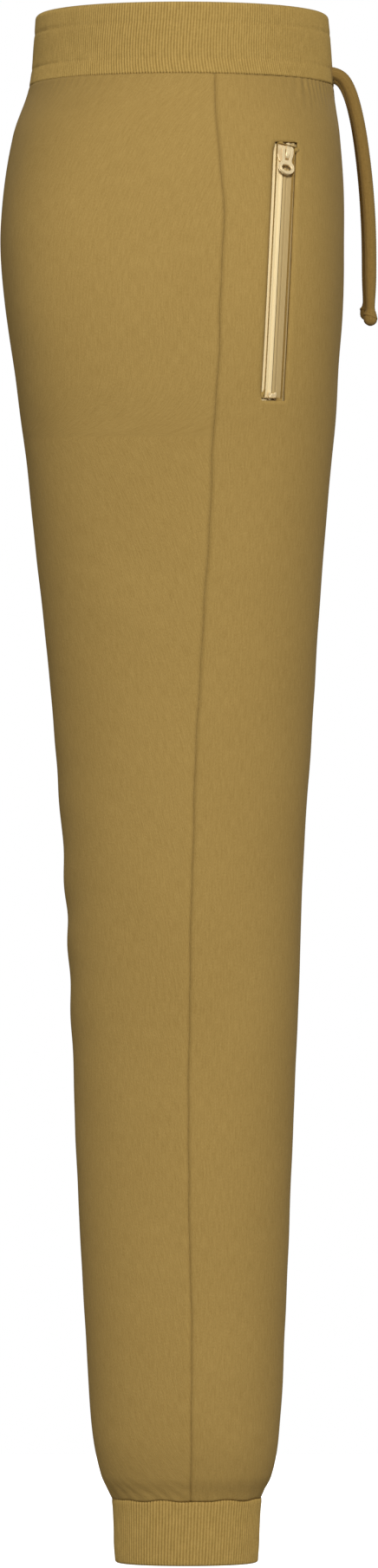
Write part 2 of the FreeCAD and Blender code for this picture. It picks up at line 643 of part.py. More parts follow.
def right_pieces(line, eyelet_at, facing):
    return {
        "front_panel": front_panel(line),
        "back_panel": back_panel(),
        "side_seam": side_seam(),
        "inseam": inseam(),
        "cuff": cuff(),
        "cuff_seam": cuff_seam(),
        "eyelet": eyelet(eyelet_at, facing),
        "zip_tape_front": tape_half(line, 1),
        "zip_tape_back": tape_half(line, -1),
        "zip_coil_front": coil_half(line, 1),
        "zip_coil_back": coil_half(line, -1),
        "zip_window_welt": window_welt(line),
        "zip_top_stops": top_stops(line),
        "zip_bottom_stop": bottom_stop(line),
        "zip_slider": slider(line),
        "zip_pull_tab": pull_tab(line),
        "pocket_bag_outer": bag_ply(line, BAG_DEPTH, True),
        "pocket_bag_inner": bag_ply(line, BAG_DEPTH + LINING + BAG_PLY_GAP, False),
    }


def build():
    line = ZipLine()
    eyelet_at, facing = eyelet_frame()
    pieces = {
        "waistband": waistband(eyelet_at, facing),
        "waist_elastic": waist_elastic(),
        "drawcord_run": drawcord_run(eyelet_at),
        "waist_seam": waist_seam(),
        "front_rise_seam": rise_seam(front_plate),
        "back_rise_seam": rise_seam(back_plate),
        "right_drawcord": cord_tube("right_drawcord", RIGHT_CORD_ROUTE),
        "left_drawcord": cord_tube("left_drawcord", LEFT_CORD_ROUTE),
        "right_drawcord_knot": cord_knot(RIGHT_CORD_ROUTE),
        "left_drawcord_knot": cord_knot(LEFT_CORD_ROUTE),
    }
    for name, shape in right_pieces(line, eyelet_at, facing).items():
        pieces["right_" + name] = shape
        pieces["left_" + name] = mirrored(shape)
    return line, eyelet_at, facing, pieces


LINE, EYELET_AT, EYELET_FACING, PIECES = build()
os.makedirs("parts", exist_ok=True)
for node, solid in PIECES.items():
    solid.exportStep("parts/" + node + ".step")
    print(node, round(solid.Volume, 1), "solids", len(solid.Solids), "valid", solid.isValid())

DOWN, ACROSS, OUT = LINE.directions(SLIDER_LENGTH / 2)
PIVOT = LINE.point(SLIDER_LENGTH / 2) + DOWN * (PIVOT_DOWN - SLIDER_LENGTH / 2) + OUT * PIVOT_OUT
print("zip centre", LINE.centre, "axis", LINE.axis, "radius", round(LINE.radius, 2),
      "length", round(LINE.length, 2), "tilt", round(math.degrees(LINE.tilt), 2))
print("pull pivot", PIVOT, "axis", ACROSS * -1, "down", DOWN, "out", OUT)
print("eyelet", EYELET_AT, "faces", EYELET_FACING)
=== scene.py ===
# %% [markdown]
# # Fleece joggers, modelled as sewn cloth
#
# These trousers are a few flat pieces of brushed fleece and ribbed knit, sewn together. This notebook
# builds each piece the way a maker would talk about it: the leg panels, the ribbed waistband and
# cuffs, the pocket zips with their metal sliders, and the knitted drawcord. The engineering model of
# the same garment is loaded first and stays fixed. It says where each piece is, which pieces move,
# and how big the whole is, and every visible piece is fitted to it.

# %% Load the engineering model
import json
import math

import bmesh
import bpy
import numpy as np
from mathutils import Matrix, Vector, noise


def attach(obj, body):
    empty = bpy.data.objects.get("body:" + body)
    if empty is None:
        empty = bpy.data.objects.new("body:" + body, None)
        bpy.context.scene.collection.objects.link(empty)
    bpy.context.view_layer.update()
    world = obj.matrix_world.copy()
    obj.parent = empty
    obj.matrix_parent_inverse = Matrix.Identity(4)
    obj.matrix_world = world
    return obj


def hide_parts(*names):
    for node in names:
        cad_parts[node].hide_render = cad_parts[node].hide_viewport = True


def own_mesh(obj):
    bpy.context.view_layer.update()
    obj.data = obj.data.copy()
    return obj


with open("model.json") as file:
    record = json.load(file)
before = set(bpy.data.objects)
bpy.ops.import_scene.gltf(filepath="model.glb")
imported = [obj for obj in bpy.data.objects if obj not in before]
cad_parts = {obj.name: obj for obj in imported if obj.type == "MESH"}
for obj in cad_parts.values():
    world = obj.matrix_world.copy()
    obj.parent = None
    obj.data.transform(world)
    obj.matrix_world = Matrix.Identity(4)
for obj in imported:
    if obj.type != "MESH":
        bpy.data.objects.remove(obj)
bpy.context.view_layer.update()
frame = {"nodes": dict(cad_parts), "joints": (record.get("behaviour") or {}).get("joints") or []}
MM = 0.001

# %% [markdown]
# ## Camera
#
# The garment is seen square from the wearer's right, from far away with a long lens, so that its
# outline hardly tapers. A long lens a few metres off is what a studio uses for clothes: it keeps
# the near hip from looking larger than the cuff. The camera stands at half the garment's height.

# %% Camera
CAMERA_DISTANCE = 8.0
CAMERA_SIDEWAYS = -0.005
CAMERA_HEIGHT = -0.5205
VIEW_HEIGHT = 1.0625     # how much of the garment's middle plane the picture's height takes in
SENSOR = 36.0            # millimetres

camera_data = bpy.data.cameras.new("side_camera")
camera_data.sensor_width = SENSOR
camera_data.lens = SENSOR * CAMERA_DISTANCE / VIEW_HEIGHT
camera_data.clip_end = 60.0
camera = bpy.data.objects.new("side_camera", camera_data)
camera.location = (-CAMERA_DISTANCE, CAMERA_SIDEWAYS, CAMERA_HEIGHT)
camera.rotation_euler = (math.radians(90), 0, math.radians(-90))
bpy.context.collection.objects.link(camera)
bpy.context.scene.camera = camera
print("lens", round(camera_data.lens, 1), "mm")

# %% [markdown]
# ## Studio
#
# Soft light from large lamps keeps cloth looking like cloth: hard light would turn every rib into a
# black line. One broad lamp faces the side of the garment and is a little above it, a second one
# fills from the front, and a third from behind keeps the back readable. The world adds a pale,
# even light. The floor is pale too, so nothing distracts from the cloth.

# %% Studio lights, floor and world
FLOOR_HEIGHT = -1.10


def lamp(name, place, aim, size, power):
    """A square lamp that faces a point of the garment."""
    data = bpy.data.lights.new(name, "AREA")
    data.size = size
    data.energy = power
    lit = bpy.data.objects.new(name, data)
    lit.location = place
    lit.rotation_euler = (Vector(aim) - Vector(place)).to_track_quat("-Z", "Y").to_euler()
    bpy.context.collection.objects.link(lit)


lamp("side_lamp", (-4.6, -0.3, 1.9), (0, 0, -0.45), 1.2, 222)
lamp("front_lamp", (-1.0, -4.2, 1.5), (0, 0, -0.35), 1.6, 22)
lamp("left_lamp", (4.6, -0.6, 1.2), (0, 0, -0.45), 1.6, 120)
lamp("back_lamp", (0.2, 4.2, 1.7), (0, 0, -0.3), 1.6, 27)

scene = bpy.context.scene
scene.view_settings.view_transform = "Standard"
scene.world = bpy.data.worlds.new("pale_studio")
scene.world.use_nodes = True
world_nodes = scene.world.node_tree.nodes
world_links = scene.world.node_tree.links
backdrop = world_nodes["Background"]
backdrop.inputs["Color"].default_value = (1, 1, 1, 1)
backdrop.inputs["Strength"].default_value = 1.0
soft_fill = world_nodes.new("ShaderNodeBackground")
soft_fill.inputs["Color"].default_value = (1.0, 0.99, 0.97, 1)
soft_fill.inputs["Strength"].default_value = 0.17
seen = world_nodes.new("ShaderNodeLightPath")
choice = world_nodes.new("ShaderNodeMixShader")
world_links.new(seen.outputs["Is Camera Ray"], choice.inputs[0])
world_links.new(soft_fill.outputs[0], choice.inputs[1])
world_links.new(backdrop.outputs[0], choice.inputs[2])
world_links.new(choice.outputs[0], world_nodes["World Output"].inputs["Surface"])

bpy.ops.mesh.primitive_plane_add(size=3.2, location=(0.6, 0, FLOOR_HEIGHT))
floor = bpy.context.object
floor.name = "floor"
floor_paint = bpy.data.materials.new("pale_floor")
floor_paint.use_nodes = True
floor_shader = floor_paint.node_tree.nodes["Principled BSDF"]
floor_shader.inputs["Base Color"].default_value = (0.42, 0.42, 0.41, 1)
floor_shader.inputs["Roughness"].default_value = 0.8
floor_shader.inputs["Emission Color"].default_value = (1, 1, 1, 1)
floor_seen = floor_paint.node_tree.nodes.new("ShaderNodeLightPath")
floor_paint.node_tree.links.new(floor_seen.outputs["Is Camera Ray"], floor_shader.inputs["Emission Strength"])
floor.data.materials.append(floor_paint)

# %% [markdown]
# ## Helpers that turn points into meshes
#
# Cloth is easiest to build as a grid: rows down the piece and columns across it. A grid keeps its
# faces square, it can be displaced smoothly, and its rows and columns give the cloth's own
# coordinates, which the weave follows. A thick piece is two such grids joined along their rims, so
# that the cloth has a real edge.


# %% Grid helpers
def unit(vectors):
    """The same directions, each of length one."""
    return vectors / np.linalg.norm(vectors, axis=-1)[..., None]


def full_turn(count):
    """Evenly spaced angles once round, in radians."""
    return np.linspace(0, 2 * math.pi, count, endpoint=False)


def travelled(points):
    """Distance gone along a line of points, at each of them."""
    return np.concatenate([[0], np.cumsum(np.linalg.norm(np.diff(points, axis=0), axis=1))])


def read_at(at, gone, points):
    """Points read off a line at the distances in at. gone is the distance at each of its points."""
    return np.stack([np.interp(at, gone, points[:, i]) for i in range(points.shape[1])], axis=-1)


def looped(loop):
    """A line of points that ends where it starts."""
    return np.concatenate([loop, loop[:1]])


def linked(name, data):
    """A new object in the scene."""
    made = bpy.data.objects.new(name, data)
    bpy.context.collection.objects.link(made)
    return made


def new_object(name, vertices, faces, uvs=None):
    """A mesh object, smooth shaded, with the cloth's own coordinates in metres as its UV map."""
    mesh = bpy.data.meshes.new(name)
    mesh.from_pydata([tuple(v) for v in vertices], [], [tuple(f) for f in faces])
    if uvs is not None:
        layer = mesh.uv_layers.new(name="cloth")
        corners = np.zeros(len(mesh.loops), dtype=np.int64)
        mesh.loops.foreach_get("vertex_index", corners)
        layer.data.foreach_set("uv", np.asarray(uvs, dtype=np.float32)[corners].ravel())
    mesh.polygons.foreach_set("use_smooth", np.ones(len(mesh.polygons), dtype=bool))
    mesh.update()
    return linked(name, mesh)


def grid_faces(rows, columns, first=0, closed=False, flip=False, keep=None):
    """Faces of a grid of points. closed joins its last column to the first."""
    across = columns if closed else columns - 1
    r, c = np.meshgrid(np.arange(rows - 1), np.arange(across), indexing="ij")
    right = (c + 1) % columns
    quads = np.stack([r * columns + c, r * columns + right, (r + 1) * columns + right,
                      (r + 1) * columns + c], axis=-1)
    if flip:
        quads = quads[..., ::-1]
    quads = quads.reshape(-1, 4)
    if keep is not None:
        quads = quads[keep.reshape(-1)]
    return quads + first


def outward(piece):
    """Drops the points that no face uses and turns every face of a closed piece outwards."""
    work = bmesh.new()
    work.from_mesh(piece.data)
    bmesh.ops.delete(work, geom=[v for v in work.verts if not v.link_faces], context="VERTS")
    bmesh.ops.recalc_face_normals(work, faces=work.faces)
    work.to_mesh(piece.data)
    work.free()
    return piece


def distance_along(points, axis):
    """Distance travelled along one axis of a grid of points, in metres."""
    step = np.linalg.norm(np.diff(points, axis=axis), axis=-1)
    start = np.zeros_like(np.take(step, [0], axis=axis))
    return np.concatenate([start, np.cumsum(step, axis=axis)], axis=axis)


def thick_sheet(name, outer, inner, keep=None):
    """A closed sheet between two grids of the same shape. keep drops faces to leave a window."""
    rows, columns = outer.shape[:2]
    count = rows * columns
    present = np.ones((rows - 1, columns - 1), dtype=bool) if keep is None else keep
    faces = [grid_faces(rows, columns, keep=present),
             grid_faces(rows, columns, count, flip=True, keep=present)]
    padded = np.zeros((rows + 1, columns + 1), dtype=bool)
    padded[1:-1, 1:-1] = present
    for changed, step in ((padded[1:, 1:-1] != padded[:-1, 1:-1], 1),
                          (padded[1:-1, 1:] != padded[1:-1, :-1], columns)):
        r, c = np.nonzero(changed)
        a = r * columns + c
        faces.append(np.stack([a, a + step, a + step + count, a + count], axis=-1))
    points = np.concatenate([outer.reshape(-1, 3), inner.reshape(-1, 3)])
    uv = np.stack([distance_along(outer, 1), distance_along(outer, 0)], axis=-1).reshape(-1, 2)
    piece = new_object(name, points, np.concatenate(faces), np.concatenate([uv, uv]))
    return outward(piece)


def ring_sheet(name, loop_rows, ribs=None):
    """A closed ring: each row is a point of the cloth's section, each column one place around.
    In rib the coordinate round the ring counts the ribs, a thousandth for each."""
    rows, columns = loop_rows.shape[:2]
    faces = grid_faces(rows + 1, columns, closed=True) % (rows * columns)
    around = distance_along(loop_rows, 1) if ribs is None else ribs / 1000
    uv = np.stack([around, distance_along(loop_rows, 0)], axis=-1).reshape(-1, 2)
    return outward(new_object(name, loop_rows.reshape(-1, 3), faces, uv))


def smooth_bump(distance, width):
    """A soft bump, 1 at no distance and nearly 0 at twice the width."""
    return np.exp(-(distance / width) ** 2)

# %% [markdown]
# ## Drawcord ends
#
# The drawcord comes out of two sewn eyelets beside the centre front, and each end hangs down over
# the belly to an overhand knot. It is a limp cotton tube, knitted on a small round machine, so it
# hangs straight as soon as it has left the eyelet and only leans on the fleece. Each line is one
# smooth curve through a few given points, the same ones that the engineering model uses.

# %% The two cord lines
CORD_DIAMETER = 0.0085
RIGHT_CORD_ROUTE = [
    (-0.0219, -0.1010, -0.0400),
    (-0.0220, -0.1073, -0.0410),
    (-0.0224, -0.1134, -0.0500),
    (-0.0220, -0.1184, -0.0670),
    (-0.0210, -0.1226, -0.0910),
    (-0.0198, -0.1262, -0.1240),
    (-0.0188, -0.1280, -0.1620),
    (-0.0184, -0.1276, -0.1990),
]
LEFT_CORD_ROUTE = [
    (0.0219, -0.1010, -0.0400),
    (0.0220, -0.1073, -0.0410),
    (0.0222, -0.1132, -0.0502),
    (0.0216, -0.1180, -0.0670),
    (0.0204, -0.1218, -0.0910),
    (0.0194, -0.1250, -0.1230),
    (0.0182, -0.1264, -0.1590),
    (0.0176, -0.1258, -0.1940),
]


def cord_line(name, route):
    """One smooth spline through the space that the route's points span."""
    data = bpy.data.curves.new(name, "CURVE")
    data.dimensions = "3D"
    data.resolution_u = 24
    spline = data.splines.new("NURBS")
    spline.points.add(len(route) - 1)
    for point, place in zip(spline.points, route):
        point.co = (*place, 1.0)
    spline.order_u = 3
    spline.use_endpoint_u = True
    return bpy.data.objects.new(name, data)


def evenly_spaced(points, spacing):
    """Points at even distances along a line of points."""
    gone = travelled(points)
    count = max(int(round(gone[-1] / spacing)), 2) + 1
    return read_at(np.linspace(0, gone[-1], count), gone, points)


def points_of(line, spacing):
    """Points read from a curve that has no thickness of its own."""
    mesh = bpy.data.meshes.new_from_object(line)
    points = np.array([v.co for v in mesh.vertices], dtype=float)
    bpy.data.meshes.remove(mesh)
    return evenly_spaced(points, spacing)


def frames_along(points):
    """Two directions square to a line at each of its points, turning as little as they can."""
    heading = unit(np.gradient(points, axis=0))
    side = np.zeros_like(points)
    side[0] = unit(np.cross(heading[0], (0.3, 0.8, 0.52)))
    for i in range(1, len(points)):
        side[i] = unit(side[i - 1] - heading[i] * np.dot(side[i - 1], heading[i]))
    return heading, side, np.cross(heading, side)


def tube(name, points, radius, around=16, ends=True, shape=None):
    """A round tube along points. shape gives each place on it a share of the radius."""
    heading, side, other = frames_along(points)
    gone = travelled(points)
    far, angle = np.meshgrid(gone, full_turn(around), indexing="ij")
    reach = np.broadcast_to(np.asarray(radius, dtype=float), (len(points),))[:, None] * np.ones_like(far)
    if shape is not None:
        reach = reach * shape(far, angle)
    ring = points[:, None] + (side[:, None] * np.cos(angle)[..., None]
                              + other[:, None] * np.sin(angle)[..., None]) * reach[..., None]
    vertices = ring.reshape(-1, 3)
    faces = [tuple(f) for f in grid_faces(len(points), around, closed=True)]
    uv = np.stack([angle * np.mean(reach), far], axis=-1).reshape(-1, 2)
    if ends:
        vertices = np.concatenate([vertices, points[:1], points[-1:]])
        uv = np.concatenate([uv, [[0, 0]], [[0, gone[-1]]]])
        first, last = len(vertices) - 2, len(vertices) - 1
        base = (len(points) - 1) * around
        faces += [(first, (i + 1) % around, i) for i in range(around)]
        faces += [(last, base + i, base + (i + 1) % around) for i in range(around)]
    return new_object(name, vertices, faces, uv)


def knitted(far, angle):
    """The relief of a small tubular knit: eight columns of stitches in short, slanting courses."""
    wales, course = 8, 0.0017
    column = np.abs(np.sin(wales / 2 * angle))
    slant = np.abs(((wales * angle / (2 * math.pi)) % 1.0) - 0.5)
    row = 0.5 + 0.5 * np.cos(2 * math.pi * (far / course + slant))
    return 0.93 + 0.07 * column ** 0.6 * (0.55 + 0.45 * row)


# %% [markdown]
# Each end is knotted close to its cut. The cord doubles over itself and is pulled tight, so the knot
# is a small drop: slim where the cord goes in, full below, with one strand lying slantwise across
# it. The cut end is tucked in and closes the drop at its foot.


# %% Cords and knots
def tight_knot(name, end, heading):
    """A knot pulled tight into a drop, with the strand that crosses it. Sizes in mm."""
    along = np.array([-1.0, 0.0, 1.2, 2.6, 4.2, 6.0, 7.8, 9.2, 10.3, 11.2, 11.8])
    girth = np.array([3.0, 3.1, 3.3, 3.8, 4.3, 4.7, 4.7, 4.3, 3.6, 2.3, 0.9])
    fine = np.linspace(along[0], along[-1], 40)
    points = end + heading * (fine * MM)[:, None]
    drop = tube(name, points, np.interp(fine, along, girth) * MM, 32, True, knitted)
    side = unit(np.cross(heading, (0.0, 1.0, 0.0)))
    other = np.cross(heading, side)
    turn = np.linspace(0, 2 * math.pi, 60)[:, None]
    slant = 5.6 + 1.7 * np.sin(turn + 0.6)
    round_it = end + (heading * slant + (side * np.cos(turn) + other * np.sin(turn)) * 3.75) * MM
    return joined(name, [drop, tube(name + "_strand", round_it, 1.15 * MM, 14, False, knitted)])


def joined(name, pieces):
    """Several meshes as one."""
    with bpy.context.temp_override(active_object=pieces[0], selected_editable_objects=pieces):
        bpy.ops.object.join()
    pieces[0].name = name
    pieces[0].data.name = name
    return pieces[0]


cords = []
for side, route in (("right", RIGHT_CORD_ROUTE), ("left", LEFT_CORD_ROUTE)):
    line = cord_line(side + "_cord_line", route)
    followed = points_of(line, 0.0005)
    to_knot = np.linalg.norm(followed - followed[-1], axis=1)
    narrowing = 0.10 * np.clip(1 - to_knot / 0.06, 0, 1) + 0.18 * smooth_bump(to_knot, 0.012)
    girth = CORD_DIAMETER / 2 * (1 - narrowing)
    cord = tube(side + "_drawcord_end", followed, girth, 32, True, knitted)
    heading = followed[-1] - followed[-4]
    knot = tight_knot(side + "_knot", followed[-1], unit(heading))
    for piece, replaced in ((cord, "_drawcord"), (knot, "_drawcord_knot")):
        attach(piece, side + "_cord")
        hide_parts(side + replaced)
        cords.append(piece)

# %% [markdown]
# ## The garment's surface
#
# A pattern cutter drafts trousers from a few measures at fixed heights: waist, hip, crotch, thigh,
# knee, calf and ankle. The surface below is that draft. Each row gives how far the cloth stands to
# the front and the back, how far it reaches to either side of the leg's middle, and how square its
# section is. A smooth curve runs through the rows, so that the cloth has no kinks. The numbers are
# the same as in the engineering model, so that both agree to a fraction of a millimetre.

# %% Pattern and surface
BAND_HEIGHT = 48.0
CROTCH_DROP = 290.0
CUFF_SEAM_DROP = 998.0
OUTSEAM = 1041.0
BLOUSE_HEIGHT = 43.0
SEAM_GAP = 0.3


def rise_at(share):
    """A drop between the waistband and the crotch."""
    return BAND_HEIGHT + share * (CROTCH_DROP - BAND_HEIGHT)


def leg_at(share):
    """A drop between the crotch and the cuff."""
    return CROTCH_DROP + share * (CUFF_SEAM_DROP - CROTCH_DROP)


# drop, front, back, leg's middle, reach outward, reach inward, side seam forward, fullness
PATTERN = np.array([
    (0.0, 99.0, 98.5, 0.0, 150.0, 150.0, 20.0, 0.04),
    (BAND_HEIGHT, 103.0, 103.0, 0.0, 155.0, 155.0, 22.0, 0.04),
    (rise_at(0.15), 107.0, 114.5, -24.0, 144.0, 158.0, 24.0, 0.14),
    (rise_at(0.40), 109.0, 121.5, -58.0, 124.5, 150.0, 28.0, 0.20),
    (rise_at(0.63), 108.0, 118.0, -78.0, 112.5, 138.0, 26.0, 0.20),
    (rise_at(0.835), 105.0, 111.5, -88.0, 103.0, 112.0, 24.0, 0.17),
    (CROTCH_DROP, 102.0, 106.0, -94.0, 94.0, 94.0, 21.5, 0.12),
    (leg_at(0.113), 95.0, 96.5, -98.0, 86.0, 86.0, 17.5, 0.06),
    (leg_at(0.27), 87.3, 85.4, -100.0, 80.0, 78.0, 10.5, 0.04),
    (leg_at(0.44), 80.3, 77.3, -102.0, 74.0, 72.0, 6.5, 0.03),
    (leg_at(0.665), 74.5, 70.3, -103.0, 67.0, 65.0, 4.5, 0.03),
    (leg_at(0.833), 69.3, 64.8, -104.0, 62.0, 60.0, 6.5, 0.03),
    (CUFF_SEAM_DROP - BLOUSE_HEIGHT, 64.6, 58.8, -104.0, 57.0, 55.0, 6.5, 0.02),
    (CUFF_SEAM_DROP - 0.37 * BLOUSE_HEIGHT, 60.2, 53.4, -104.0, 51.0, 49.5, 6.0, 0.02),
    (CUFF_SEAM_DROP, 53.5, 46.5, -104.0, 44.0, 43.0, 6.0, 0.02),
    (OUTSEAM, 50.8, 44.2, -104.0, 42.5, 41.5, 6.0, 0.02),
])
SLOPES = np.gradient(PATTERN[:, 1:], axis=0) / np.gradient(PATTERN[:, 0])[:, None]


def measures(drop):
    """The pattern's seven measures at any drop, in millimetres, each with drop's own shape."""
    drop = np.asarray(drop, dtype=float)
    low = np.clip(np.searchsorted(PATTERN[:, 0], drop) - 1, 0, len(PATTERN) - 2)
    span = (PATTERN[low + 1, 0] - PATTERN[low, 0])[..., None]
    t = (drop - PATTERN[low, 0])[..., None] / span
    values = (PATTERN[low, 1:] * (2 * t ** 3 - 3 * t ** 2 + 1)
              + SLOPES[low] * span * (t ** 3 - 2 * t ** 2 + t)
              + PATTERN[low + 1, 1:] * (3 * t ** 2 - 2 * t ** 3) + SLOPES[low + 1] * span * (t ** 3 - t ** 2))
    return np.moveaxis(values, -1, 0)


def skin(drop, turn, inset=0.0):
    """Points in metres. Turn 0 is the leg's outer side, 90 its front, 180 its inner side."""
    drop, turn = np.broadcast_arrays(np.asarray(drop, dtype=float), np.asarray(turn, dtype=float))
    front, back, middle, outward_reach, inward_reach, _, fullness = measures(drop)
    across, along = np.cos(np.radians(turn)), np.sin(np.radians(turn))
    reach = np.where(across > 0, outward_reach, inward_reach) - inset
    depth = (front + back) / 2 - inset
    x = middle - reach * across * (1 + fullness * along ** 2)
    y = (back - front) / 2 - depth * along * (1 + fullness * across ** 2)
    return np.stack([x, y, -drop], axis=-1) * MM


def halved(low, high, below):
    """Narrows a range of turns, row by row, to where below stops being true."""
    for _ in range(36):
        middle = (low + high) / 2
        inside = below(middle)
        low, high = np.where(inside, middle, low), np.where(inside, high, middle)
    return (low + high) / 2


def turn_at(drop, forward):
    """The turn, between the outer side and the front, where the surface is this far forward (mm)."""
    drop = np.asarray(drop, dtype=float)
    return halved(drop * 0 - 60.0, drop * 0 + 80.0, lambda t: -skin(drop, t)[..., 1] < forward * MM)


def side_turn(drop):
    """The side seam's turn."""
    return turn_at(drop, measures(drop)[5])


def centre_turn(drop, front):
    """The turn where a panel ends: at the centre seam above the crotch, at the inseam below it."""
    drop = np.asarray(drop, dtype=float)
    found = halved(drop * 0 + 90.0, drop * 0 + 179.8, lambda t: skin(drop, t)[..., 0] < -SEAM_GAP / 2 * MM)
    return found if front else -found


def surface_normals(points, drop):
    """Directions straight out of the cloth, for a grid of points and its rows' drops."""
    normal = np.cross(np.gradient(points, axis=1), np.gradient(points, axis=0))
    normal /= np.linalg.norm(normal, axis=-1)[..., None] + 1e-12
    front, back, middle = measures(drop)[:3]
    hub = np.stack([middle, (back - front) / 2, -np.asarray(drop)], axis=-1) * MM
    return normal * np.sign(np.median(np.sign(np.sum(normal * (points - hub), axis=-1))))


print("waist", skin(0, 0), "hem front", skin(OUTSEAM, 90))

# %% [markdown]
# ## Materials
#
# One dye lot, several cloths. The body is brushed fleece: its face is a fine jersey, matt, with a
# slight heather of lighter and darker fibres and very faint columns of stitches. The rib has the
# same yarn in deep columns. Cord, zip tape, thread, lining and metal each get their own. Every
# finish is worked out from noise and waves in the cloth's own coordinates, so that it stays sharp
# at any distance.


# %% Material recipes
def new_material(name, colour, roughness, sheen=0.0, metallic=0.0, specular=0.3):
    """A material, its shader, a helper that adds linked nodes and one that feeds the shader."""
    material = bpy.data.materials.new(name)
    material.use_nodes = True
    tree = material.node_tree
    shader = tree.nodes["Principled BSDF"]
    shader.inputs["Base Color"].default_value = (*colour, 1)
    shader.inputs["Roughness"].default_value = roughness
    shader.inputs["Metallic"].default_value = metallic
    shader.inputs["Specular IOR Level"].default_value = specular
    shader.inputs["Sheen Weight"].default_value = sheen
    shader.inputs["Sheen Roughness"].default_value = 0.5

    def add(kind, settings=None, **inputs):
        node = tree.nodes.new(kind)
        for key, value in (settings or {}).items():
            setattr(node, key, value)
        for key, value in inputs.items():
            socket = node.inputs[int(key[1:])] if key[0] == "i" and key[1:].isdigit() else node.inputs[key]
            if isinstance(value, bpy.types.NodeSocket):
                tree.links.new(value, socket)
            else:
                socket.default_value = value
        return node

    def feed(name, output):
        tree.links.new(output, shader.inputs[name])

    return material, shader, add, feed


def math_node(add, operation, *values):
    """The result of a sum or product of sockets and numbers."""
    return add("ShaderNodeMath", {"operation": operation},
               **{f"i{i}": value for i, value in enumerate(values)}).outputs[0]


def noise_node(add, place, scale, detail):
    """Soft noise at a place, about 0.5 on average."""
    return add("ShaderNodeTexNoise", None, Vector=place, Scale=scale, Detail=detail).outputs[0]


def wave_node(add, axis, place, scale, distortion=0.0, phase=0.0):
    """Even bands square to one axis."""
    node = add("ShaderNodeTexWave", {"wave_type": "BANDS", "bands_direction": axis},
               Vector=place, Scale=scale)
    node.inputs["Distortion"].default_value = distortion
    node.inputs["Phase Offset"].default_value = phase
    return node.outputs[0]


def ranged(add, value, **limits):
    """A value moved from one range to another."""
    node = add("ShaderNodeMapRange", None, Value=value)
    for name, limit in limits.items():
        node.inputs[name.replace("_", " ")].default_value = limit
    return node.outputs[0]


def cloth_coordinates(add, across, along):
    """The cloth's own coordinates, scaled to counts per metre across and along it."""
    place = add("ShaderNodeUVMap", {"uv_map": "cloth"})
    return add("ShaderNodeMapping", None, Vector=place.outputs[0], Scale=(across, along, 1.0)).outputs[0]


def mixed(add, share, first, second):
    """A colour between two, by a share from 0 to 1."""
    node = add("ShaderNodeMix", {"data_type": "RGBA"}, i0=share)
    node.inputs[6].default_value = (*first, 1)
    node.inputs[7].default_value = (*second, 1)
    return node.outputs[2]


def bumped(add, height, strength, distance):
    """The shading of a small relief."""
    return add("ShaderNodeBump", None, Height=height, Strength=strength, Distance=distance).outputs[0]


ONE_BAND = 0.314     # the wave's scale at which one band fits one unit of its coordinates


def knit_material(name, light, dark, wale, fuzz, relief, sheen=0.04, painted_rib_light=0.0):
    """Matt knit: heathered fibres, faint stitch columns wale metres apart and a fine fuzz.
    painted_rib_light is how much lighter the top of each column is painted: painted highlight on the crests,
    painted shade between them."""
    material, shader, add, feed = new_material(name, light, 0.92, sheen, specular=0.03)
    shader.inputs["Sheen Tint"].default_value = (1.0, 0.86, 0.6, 1)
    streaks = noise_node(add, cloth_coordinates(add, 1 / wale, 0.12 / wale), 1.0, 2.0)
    fibres = noise_node(add, cloth_coordinates(add, 1400.0, 700.0), 1.0, 3.0)
    clouds = noise_node(add, cloth_coordinates(add, 14.0, 9.0), 1.0, 2.0)
    heather = math_node(add, "MULTIPLY_ADD", clouds, 0.35, math_node(add, "ADD", streaks, fibres))
    rows = wave_node(add, "X", cloth_coordinates(add, 1 / wale, 1.0), ONE_BAND,
                     0.0 if painted_rib_light else 0.6, math.pi)
    share = ranged(add, math_node(add, "MULTIPLY_ADD", rows, painted_rib_light, heather),
                   From_Min=0.75 + 0.35 * painted_rib_light, From_Max=1.6 + 0.65 * painted_rib_light)
    feed("Base Color", mixed(add, share, dark, light))
    height = math_node(add, "MULTIPLY_ADD", fibres, fuzz, math_node(add, "MULTIPLY", rows, 0.25))
    feed("Normal", bumped(add, height, relief, 0.0004))
    return material


FLEECE_LIGHT, FLEECE_DARK = (0.412, 0.271, 0.084), (0.312, 0.197, 0.055)
fleece = knit_material("fleece", FLEECE_LIGHT, FLEECE_DARK, 0.0011, 1.6, 0.35)
# The rib's column tops are painted lighter and its hollows darker: painted highlight and painted shade over
# the real relief.
rib_knit = knit_material("rib_knit", (0.485, 0.322, 0.098), (0.310, 0.198, 0.053), 0.001, 1.2, 0.4, painted_rib_light=0.9)
cord_knit = knit_material("cord_knit", (0.285, 0.176, 0.050), (0.210, 0.126, 0.033), 0.0008, 1.0, 0.5, 0.1)
thread = knit_material("thread", (0.430, 0.290, 0.095), (0.340, 0.222, 0.066), 0.0003, 0.8, 0.4, 0.1)
eyelet_thread = knit_material("eyelet_thread", (0.270, 0.172, 0.055), (0.210, 0.130, 0.040),
                              0.0003, 0.8, 0.4, 0.1)
lining = knit_material("lining", (0.430, 0.305, 0.125), (0.370, 0.255, 0.100), 0.0008, 1.0, 0.3)
elastic = knit_material("elastic", (0.75, 0.72, 0.66), (0.62, 0.60, 0.55), 0.0010, 0.4, 0.6, 0.0)


def tape_material(name, dark, light):
    """Woven tape with a soft gloss, its fine ribs running along the zip."""
    material, _, add, feed = new_material(name, light, 0.6, 0.05, specular=0.4)
    place = cloth_coordinates(add, 1000.0, 1000.0)
    weave = math_node(add, "MULTIPLY_ADD", wave_node(add, "Y", place, 0.5), 0.6,
                      wave_node(add, "X", place, 0.42))
    feed("Base Color", mixed(add, ranged(add, weave, From_Max=1.6), dark, light))
    feed("Normal", bumped(add, weave, 0.35, 0.0003))
    return material


